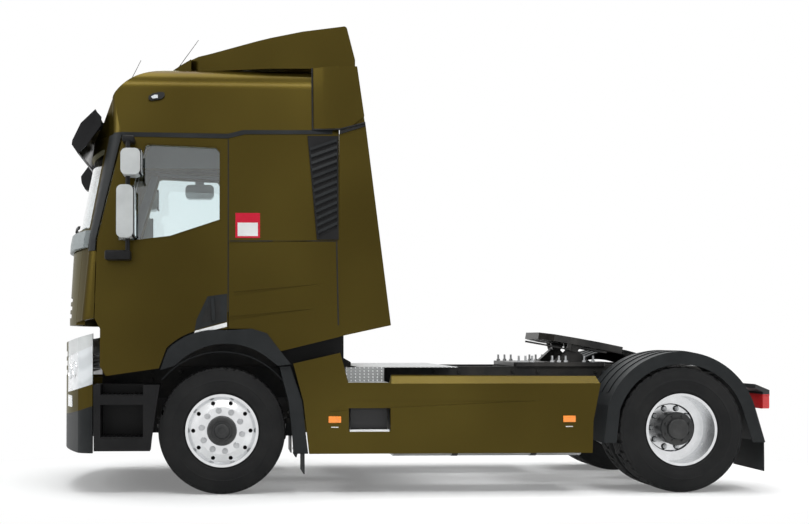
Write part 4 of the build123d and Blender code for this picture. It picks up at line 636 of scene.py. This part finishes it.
# Pillar covers: black mouldings over the front pillars, between the door and the windscreen,
# clipped to the steel.
pillar_line = [(930, 2952), (820, 2940), (1026, 2084), (1030, 1990), (1090, 1990), (1092, 2085), (1012, 2522)]
for word, side in hands:
    laid_trim("pillar_cover_" + word, "cab", charcoal_moulding, pillar_line, ["cab_shell"],
              side, 0.020, cell=0.02)

# Door trim: rubber seals round the windows, and a moulded handle panel at the door's rear foot
# with a grip bar over a hollow and a bright sill strip below, all clipped to the door.
seal_rubber = coated("seal_rubber", (0.010, 0.010, 0.010), (0.022, 0.022, 0.022), roughness=0.58,
                     grain=260.0, depth=0.0002)
window_line = [(607, 2868), (46, 2846), (12, 2808), (12, 2240), (423, 2100), (765, 2058), (846, 2062),
               (856, 2100), (634, 2862)]
handle_line = [(222, 1345), (206, 1432), (118, 1618), (-40, 1640), (-40, 1416), (-20, 1412)]
hollow_line = [(168, 1404), (158, 1452), (108, 1568), (10, 1588), (10, 1436)]
grip_line = [(82, 1420), (92, 1602), (66, 1608), (54, 1428)]
sill_line = [(226, 1306), (222, 1338), (-40, 1408), (-40, 1372)]
for word, side in hands:
    body = word + "_door"
    door = ["door_" + word]
    laid_trim("window_seal_" + word, body, seal_rubber, window_line, door, side, 0.005,
              inner=0.030)
    laid_trim("handle_panel_" + word, body, charcoal_moulding, handle_line, door, side, 0.006)
    laid_trim("handle_hollow_" + word, body, seal_rubber, hollow_line, door, side, 0.0075)
    laid_trim("door_grip_" + word, body, charcoal_moulding, grip_line, door, side, 0.024)
    laid_trim("sill_strip_" + word, body, white_strip, sill_line, door, side, 0.007)

# Rear wall swages: six upright ribs pressed out of the cab's steel back to stiffen it, in the
# lacquer of the cab.
mesh = bmesh.new()
for number in range(6):
    middle = -0.875 + 0.35 * number
    bevelled_block(mesh, (0.622, middle - 0.045, 1.620), (0.634, middle + 0.045, 2.780), 0.010)
fit_piece(mesh, "rear_swages", "cab", bronze_lacquer)

# Intake bars: thirteen slanting blades of black plastic a side, moulded with the grille and
# standing out of it, rising to the rear.
for word, side in hands:
    bars = bmesh.new()
    for number in range(13):
        low_z = 2132 + 57 * number
        front = -779 + number * 57 * 0.0887
        bar = laid_trim("intake_bar_" + word + "_%02d" % number, "cab", black_moulding,
                        [(front, low_z), (-940, low_z + 78), (-940, low_z + 102), (front, low_z + 24)],
                        ["intake_grilles"], side, 0.010, cell=0.2)
        bars.from_mesh(bar.data)
        bpy.data.objects.remove(bar)
    fit_piece(bars, "intake_bars_" + word, "cab", charcoal_moulding)


# Upper side deflectors: lacquered wings lapped over the rear of the roof, with a rubber seal
# down the leading edge and another along the foot; screwed to the roof.
def slab(mesh, outline, y, thickness):
    ring = [mesh.verts.new((front_axle_x + x, y, z)) for x, z in outline]
    for vertex in extruded(mesh, [mesh.faces.new(ring)], True):
        vertex.co.y += thickness


roof_flank = panel_face(["roof"])
for word, side in hands:
    wing = bmesh.new()
    seal = bmesh.new()
    spots = []
    for z in (3.02, 3.30):
        outside = Vector((front_axle_x - 0.78, side * 2.2, z))
        found = roof_flank.ray_cast(outside, Vector((0.0, -side, 0.0)))[0]
        spots.append((z, abs(found.y)))
    lean = (spots[1][1] - spots[0][1]) / (spots[1][0] - spots[0][0])
    rows = []
    for z in (2.998, 3.10, 3.20, 3.30, 3.40, 3.512):
        flank = spots[0][1] + lean * (z - spots[0][0]) + 0.004
        foot_rise = max(0.0, 3.052 - z)
        trailing = -1.172 + (z - 3.052) * 0.143
        row = [(-0.742, flank), (-0.820, (flank + 1.2385) / 2.0), (-0.900, 1.2385), (-0.980, 1.2385),
               (trailing + 2.7 * foot_rise, 1.2385)]
        rows.append([wing.verts.new((front_axle_x + x, side * y, z)) for x, y in row])
    for low_row, high_row in zip(rows, rows[1:]):
        for index in range(len(low_row) - 1):
            wing.faces.new((low_row[index], low_row[index + 1], high_row[index + 1], high_row[index]))
    bmesh.ops.solidify(wing, geom=wing.faces[:], thickness=side * 0.006)
    fit_piece(wing, "deflector_wing_" + word, "cab", bronze_lacquer)
    for start, end in (((-0.742, 2.99), (-0.742, 3.512)), ((-0.742, 2.992), (-0.965, 2.992)),
                       ((-0.965, 2.992), (-1.172, 3.046))):
        reach = []
        for x, z in (start, end):
            flank = spots[0][1] + lean * (z - spots[0][0]) + 0.008
            y = 1.241 if x < -0.96 else flank
            reach.append(Vector((front_axle_x + x, side * y, z)))
        tapered_rod(seal, reach[0], reach[1], 0.007, 0.007, 6)
    foot_line = [(-0.962, 2.952), (-1.176, 3.020), (-1.171, 3.056), (-0.962, 2.996)]
    slab(seal, foot_line, side * 1.226, side * 0.012)
    fit_piece(seal, "deflector_seal_" + word, "cab", seal_rubber)

# Deflector toe: a lacquered moulded wedge that closes the front of the roof deflector, screwed
# down on the roof.
mesh = bmesh.new()
slab(mesh, [(0.424, 3.500), (0.424, 3.519), (0.348, 3.571), (0.262, 3.622), (0.262, 3.500)], 0.93, -1.86)
fit_piece(mesh, "deflector_toe", "cab", bronze_lacquer)

# Flank seals: rubber strips in the joints behind the door, round the locker lid and ahead of
# the lower side deflector.
joint_lines = [
    ("door_joint", ["cab_shell"], [(-45, 2905), (-45, 1360), (-54, 1360), (-54, 2905)]),
    ("locker_joint", ["cab_shell"], [(-62, 2076), (-62, 2067), (-945, 2070), (-945, 2079)]),
    ("deflector_joint", ["cab_shell"], [(-931, 2066), (-942, 2066), (-955, 1385), (-944, 1385)])]
for word, side in hands:
    for where, carriers, outline in joint_lines:
        laid_trim(where + "_seal_" + word, "cab", seal_rubber, outline, carriers, side,
                  0.0015)

# Splash boards: black moulded boards bolted to the frame, one under each side of the cab behind
# the front wheel.
mesh = bmesh.new()
board_line = [(-0.470, 0.940), (-0.470, 1.205), (-1.015, 1.315), (-1.015, 1.000), (-0.700, 0.940)]
for side in (1.0, -1.0):
    slab(mesh, board_line, side * 0.985, side * 0.006)
fit_piece(mesh, "splash_boards", "chassis", black_moulding)

# Visor cheeks: end plates of smoked plastic that join the blade of the sun visor to the roof's
# brow, screwed to both.
mesh = bmesh.new()
cheek_line = [(1.052, 3.170), (1.170, 3.056), (1.236, 2.915), (1.238, 2.884), (1.192, 2.808), (1.128, 2.868),
              (1.060, 2.962), (1.004, 3.040), (1.000, 3.112)]
for side in (1.0, -1.0):
    slab(mesh, cheek_line, side * 1.028, side * 0.010)
cheek_skin = coated("cheek_skin", (0.007, 0.007, 0.008), (0.014, 0.014, 0.015), roughness=0.24, grain=30.0,
                    depth=0.0004)
fit_piece(mesh, "visor_cheeks", "cab", cheek_skin)

# Notice on the left flank: a printed film label, left blank, with a white field on a red ground,
# stuck to the cab.
label_red = coated("label_red", (0.52, 0.012, 0.035), (0.60, 0.020, 0.050), roughness=0.42, grain=150.0,
                   depth=0.0001)
laid_trim("flank_label", "cab", label_red, [(-108, 2302), (-309, 2302), (-309, 2097), (-108, 2097)],
          ["cab_shell"], 1.0, 0.0012)
laid_trim("flank_label_field", "cab", white_strip,
          [(-126, 2222), (-291, 2222), (-291, 2112), (-126, 2112)], ["cab_shell"], 1.0, 0.0020)

# Roof marker lamps: small clear lamps in dark surrounds, moulded and screwed to the shoulders of
# the roof.
clear_lens = ribbed_lens("clear_lens", (0.80, 0.83, 0.85), (0.35, 0.37, 0.39), 0.08, 70.0, 0.10)
base_line = [(604, 3262), (570, 3286), (500, 3300), (474, 3290), (474, 3262), (500, 3240), (580, 3226),
             (604, 3236)]
lamp_line = [(585, 3256), (556, 3272), (528, 3272), (528, 3246), (570, 3240)]
for word, side in hands:
    laid_trim("roof_marker_base_" + word, "cab", seal_rubber, base_line, ["roof"], side,
              0.018, cell=0.03)
    laid_trim("roof_marker_lens_" + word, "cab", clear_lens, lamp_line, ["roof"], side, 0.028,
              cell=0.02)

# Aerials: two tapered steel rods in black sleeves, on rubber feet screwed to the roof, raked back
# from its front.
roof_skin = panel_face(["roof", "roof_deflector"])
rods = bmesh.new()
feet = bmesh.new()
for x, y, rise, lean in ((0.870, 0.80, 0.330, 0.180), (0.440, 0.70, 0.325, 0.235)):
    hit = roof_skin.ray_cast(Vector((front_axle_x + x, y, 5.0)), Vector((0.0, 0.0, -1.0)))[0]
    foot = hit - Vector((0.0, 0.0, 0.004))
    knee = foot + Vector((-0.045, 0.0, 0.060))
    tip = foot + Vector((-lean, 0.0, rise))
    tapered_rod(feet, foot + Vector((0.030, 0.0, -0.010)), knee, 0.026, 0.007, 14)
    tapered_rod(rods, knee, tip, 0.0032, 0.0022, 8)
fit_piece(feet, "aerial_feet", "cab", seal_rubber)
fit_piece(rods, "aerial_rods", "cab", seal_rubber)

# Dashboard: a dark grained moulding bolted across the front of the cab, with the steering wheel
# and its column in the same plastic.
dash_skin = coated("dash_skin", (0.030, 0.031, 0.033), (0.050, 0.050, 0.052), roughness=0.62, grain=350.0,
                   depth=0.0005)
dress("dashboard", dash_skin)


# Seats and bunk: foam pads in woven cloth on sprung pedestals, each pad crowned between its
# seams with sewn channels across, and a mattress on the bunk's box.
def woven_cloth(name, thread, shade):
    material, tree, shader, place = new_finish(name)
    yarns = []
    for direction in ("X", "Z"):
        yarn = finish_node(tree, "TexWave", {"Vector": place, "Scale": 90.0, "Distortion": 1.2},
                           bands_direction=direction)
        yarns.append(yarn["Fac"])
    weave = finish_node(tree, "Math", {0: yarns[0], 1: yarns[1]}, operation="MULTIPLY")["Value"]
    tones = toned(tree, weave, shade, thread)
    bump = finish_node(tree, "Bump", {"Height": weave, "Strength": 0.6, "Distance": 0.0012})
    wire(tree, shader, {"Base Color": tones.outputs["Color"], "Roughness": 0.88, "Sheen Weight": 0.35,
                        "Sheen Roughness": 0.5, "Normal": bump["Normal"]})
    return material


def foam_pad(name, middle, span, lean, channels, cloth):
    mesh = bmesh.new()
    bmesh.ops.create_cube(mesh, size=1.0)
    bmesh.ops.subdivide_edges(mesh, edges=mesh.edges[:], cuts=11, use_grid_fill=True)
    for vertex in mesh.verts:
        u, v, w = (2.0 * vertex.co.x, 2.0 * vertex.co.y, 2.0 * vertex.co.z)
        round_in = 1.0 - 0.045 * (u ** 8 + v ** 8)
        crown = (1.0 - abs(u) ** 3.0) * (1.0 - abs(v) ** 3.0)
        dip = 0.10 * sum(math.exp(-((u - line) / 0.07) ** 2) for line in channels) * (1.0 - v ** 6)
        thick = w * (0.72 + 0.28 * crown - dip * (1.0 if w > 0.0 else 0.0))
        vertex.co = Vector((u * (1.0 - 0.03 * v * v) * round_in, v * (1.0 - 0.02 * u * u) * round_in,
                            thick)) * 0.5
    place = Matrix.Translation(middle) @ Matrix.Rotation(lean, 4, "Y") @ Matrix.Diagonal((*span, 1.0))
    bmesh.ops.transform(mesh, matrix=place, verts=mesh.verts)
    bmesh.ops.smooth_vert(mesh, verts=mesh.verts, factor=0.35, use_axis_x=True, use_axis_y=True,
                          use_axis_z=True)
    pad = fit_piece(mesh, name, "cab", cloth, 80.0)
    swell = pad.modifiers.new("rounding", "SUBSURF")
    swell.levels = 1
    swell.render_levels = 1
    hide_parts("seats")


seat_cloth = woven_cloth("seat_cloth", (0.105, 0.100, 0.094), (0.036, 0.034, 0.032))
bunk_cloth = woven_cloth("bunk_cloth", (0.190, 0.188, 0.182), (0.085, 0.083, 0.080))
for word, y in (("left", 0.610), ("right", -0.610)):
    foam_pad("seat_pad_" + word, (1.725, y, 1.882), (0.500, 0.505, 0.118), math.radians(-4.0),
             (-0.45, -0.1, 0.25, 0.6), seat_cloth)
    foam_pad("back_pad_" + word, (1.376, y, 2.238), (0.640, 0.480, 0.098), math.radians(-102.5),
             (-0.6, -0.25, 0.1, 0.45), seat_cloth)
    foam_pad("head_pad_" + word, (1.303, y, 2.645), (0.190, 0.290, 0.072), math.radians(-98.0), (0.0,),
             seat_cloth)
foam_pad("bunk_mattress", (0.970, 0.0, 1.930), (0.545, 2.210, 0.116), 0.0, (-0.5, 0.0, 0.5), bunk_cloth)
pedestals = bmesh.new()
for side in (1.0, -1.0):
    bevelled_block(pedestals, (1.575, side * 0.445, 1.451), (1.905, side * 0.775, 1.500), 0.010)
    for number in range(6):
        low = 1.502 + 0.048 * number
        bevelled_block(pedestals, (1.600, side * 0.470, low), (1.880, side * 0.750, low + 0.046), 0.018)
    bevelled_block(pedestals, (1.560, side * 0.440, 1.792), (1.920, side * 0.780, 1.822), 0.008)
    tapered_rod(pedestals, (1.322, side * 0.560, 2.500), (1.306, side * 0.560, 2.600), 0.007, 0.007)
    tapered_rod(pedestals, (1.322, side * 0.660, 2.500), (1.306, side * 0.660, 2.600), 0.007, 0.007)
stand = fit_piece(pedestals, "seat_pedestals", "cab", dash_skin)
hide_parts("seats")
mesh = bmesh.new()
bevelled_block(mesh, (0.696, -1.116, 1.451), (1.244, 1.116, 1.868), 0.014)
bunk_box = fit_piece(mesh, "bunk_box", "cab", dash_skin)
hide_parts("seats")

# Cab linings: pale grey cloth on board, clipped to the inside of the roof and of the wall beside
# the bunk.
lining_cloth = woven_cloth("lining_cloth", (0.70, 0.74, 0.75), (0.50, 0.53, 0.54))
roof_line = [(820, 2990), (700, 3200), (-860, 3300), (-860, 2975), (820, 2975)]
bunk_line = [(-70, 2020), (-70, 2930), (-860, 2930), (-860, 2020)]
for word, side in hands:
    laid_trim("roof_lining_" + word, "cab", lining_cloth, roof_line, ["roof"], side, 0.006,
              cell=0.12, start=0.6)
    laid_trim("bunk_lining_" + word, "cab", lining_cloth, bunk_line, ["cab_shell"], side,
              0.006, cell=0.12, start=0.6)

# Door linings: grained mouldings clipped inside each door, round the window and down to the
# sill.
door_card = coated("door_card", (0.20, 0.22, 0.225), (0.27, 0.29, 0.295), roughness=0.60, grain=350.0,
                   depth=0.0005)
lining_outlines = [
    ("ahead", [(640, 2885), (702, 2900), (1000, 2090), (968, 2030), (872, 2062), (868, 2100)]),
    ("below", [(880, 2056), (765, 2046), (423, 2086), (0, 2232), (-30, 2232), (-30, 1480), (960, 1480),
               (985, 2020)]),
    ("behind", [(2, 2800), (2, 2250), (-34, 2250), (-34, 2895), (2, 2880)]),
    ("above", [(618, 2886), (40, 2864), (6, 2890), (640, 2915)])]
for word, side in hands:
    for where, outline in lining_outlines:
        laid_trim("door_lining_" + where + "_" + word, word + "_door", door_card, outline,
                  ["door_" + word], side, 0.008, cell=0.12, start=0.6)

# Glass: tinted safety glass, bent to the curve of the cab, glued in for the windscreen and let
# into the doors.
cab_glass, tree, shader, place = new_finish("cab_glass")
film = finish_node(tree, "TexNoise", {"Vector": place, "Scale": 1.6})
tint = toned(tree, film["Fac"], (0.78, 0.87, 0.88), (0.86, 0.93, 0.94))
wire(tree, shader, {"Base Color": tint.outputs["Color"], "Roughness": 0.02, "Transmission Weight": 1.0,
                    "IOR": 1.1, "Coat Weight": 1.0, "Coat Roughness": 0.02, "Coat IOR": 1.75})
for name in ("door_glass_left", "door_glass_right", "windscreen"):
    dress(name, cab_glass)

# Mirror covers: moulded plastic lacquered silver, carried on a tube with an arm at its top and
# foot on each door.
mirror_silver = coated("mirror_silver", (0.46, 0.48, 0.48), (0.56, 0.58, 0.58), roughness=0.32, grain=260.0,
                       depth=0.0002, metallic=0.15)
for name in ("mirrors_left", "mirrors_right"):
    dress(name, mirror_silver)

# Mirror glass and arms: silvered glass in a black bezel on the rear of each housing, and black
# sleeves over the tube and its clamps.
silvered, tree, shader, place = new_finish("silvered_glass")
haze = finish_node(tree, "TexNoise", {"Vector": place, "Scale": 6.0})
tones = toned(tree, haze["Fac"], (0.66, 0.69, 0.71), (0.78, 0.81, 0.83))
wire(tree, shader, {"Base Color": tones.outputs["Color"], "Metallic": 1.0, "Roughness": 0.03})
mirror_glasses = [
    # x, inner and outer y, lower and upper z
    (2.295, 1.305, 1.505, 2.095, 2.475),
    (2.240, 1.310, 1.505, 2.592, 2.768)]
for word, side in hands:
    body = word + "_door"
    glass = bmesh.new()
    bezel = bmesh.new()
    for x, y0, y1, z0, z1 in mirror_glasses:
        bevelled_block(bezel, (x - 0.008, side * (y0 - 0.008), z0 - 0.012),
                       (x + 0.010, side * (y1 + 0.008), z1 + 0.012), 0.006)
        bevelled_block(glass, (x - 0.011, side * y0, z0), (x - 0.004, side * y1, z1), 0.003)
    for low, high in ((1.938, 2.078), (2.493, 2.577), (2.783, 2.893)):
        tapered_rod(bezel, (2.345, side * 1.400, low), (2.345, side * 1.400, high), 0.0185, 0.0185, 20)
    bevelled_block(bezel, (2.322, side * 1.256, 1.905), (2.526, side * 1.424, 1.982), 0.014)
    bevelled_block(bezel, (2.296, side * 1.215, 2.854), (2.392, side * 1.422, 2.901), 0.010)
    fit_piece(bezel, "mirror_bezels_" + word, body, black_moulding)
    fit_piece(glass, "mirror_glass_" + word, body, silvered)

# Sun visor: a blade of smoked acrylic, bent to the cab's brow and screwed to it through its
# cheeks.
smoked_acrylic = coated("smoked_acrylic", (0.006, 0.006, 0.007), (0.012, 0.012, 0.013), roughness=0.12,
                        grain=12.0, depth=0.0006)
dress("sun_visor", smoked_acrylic)
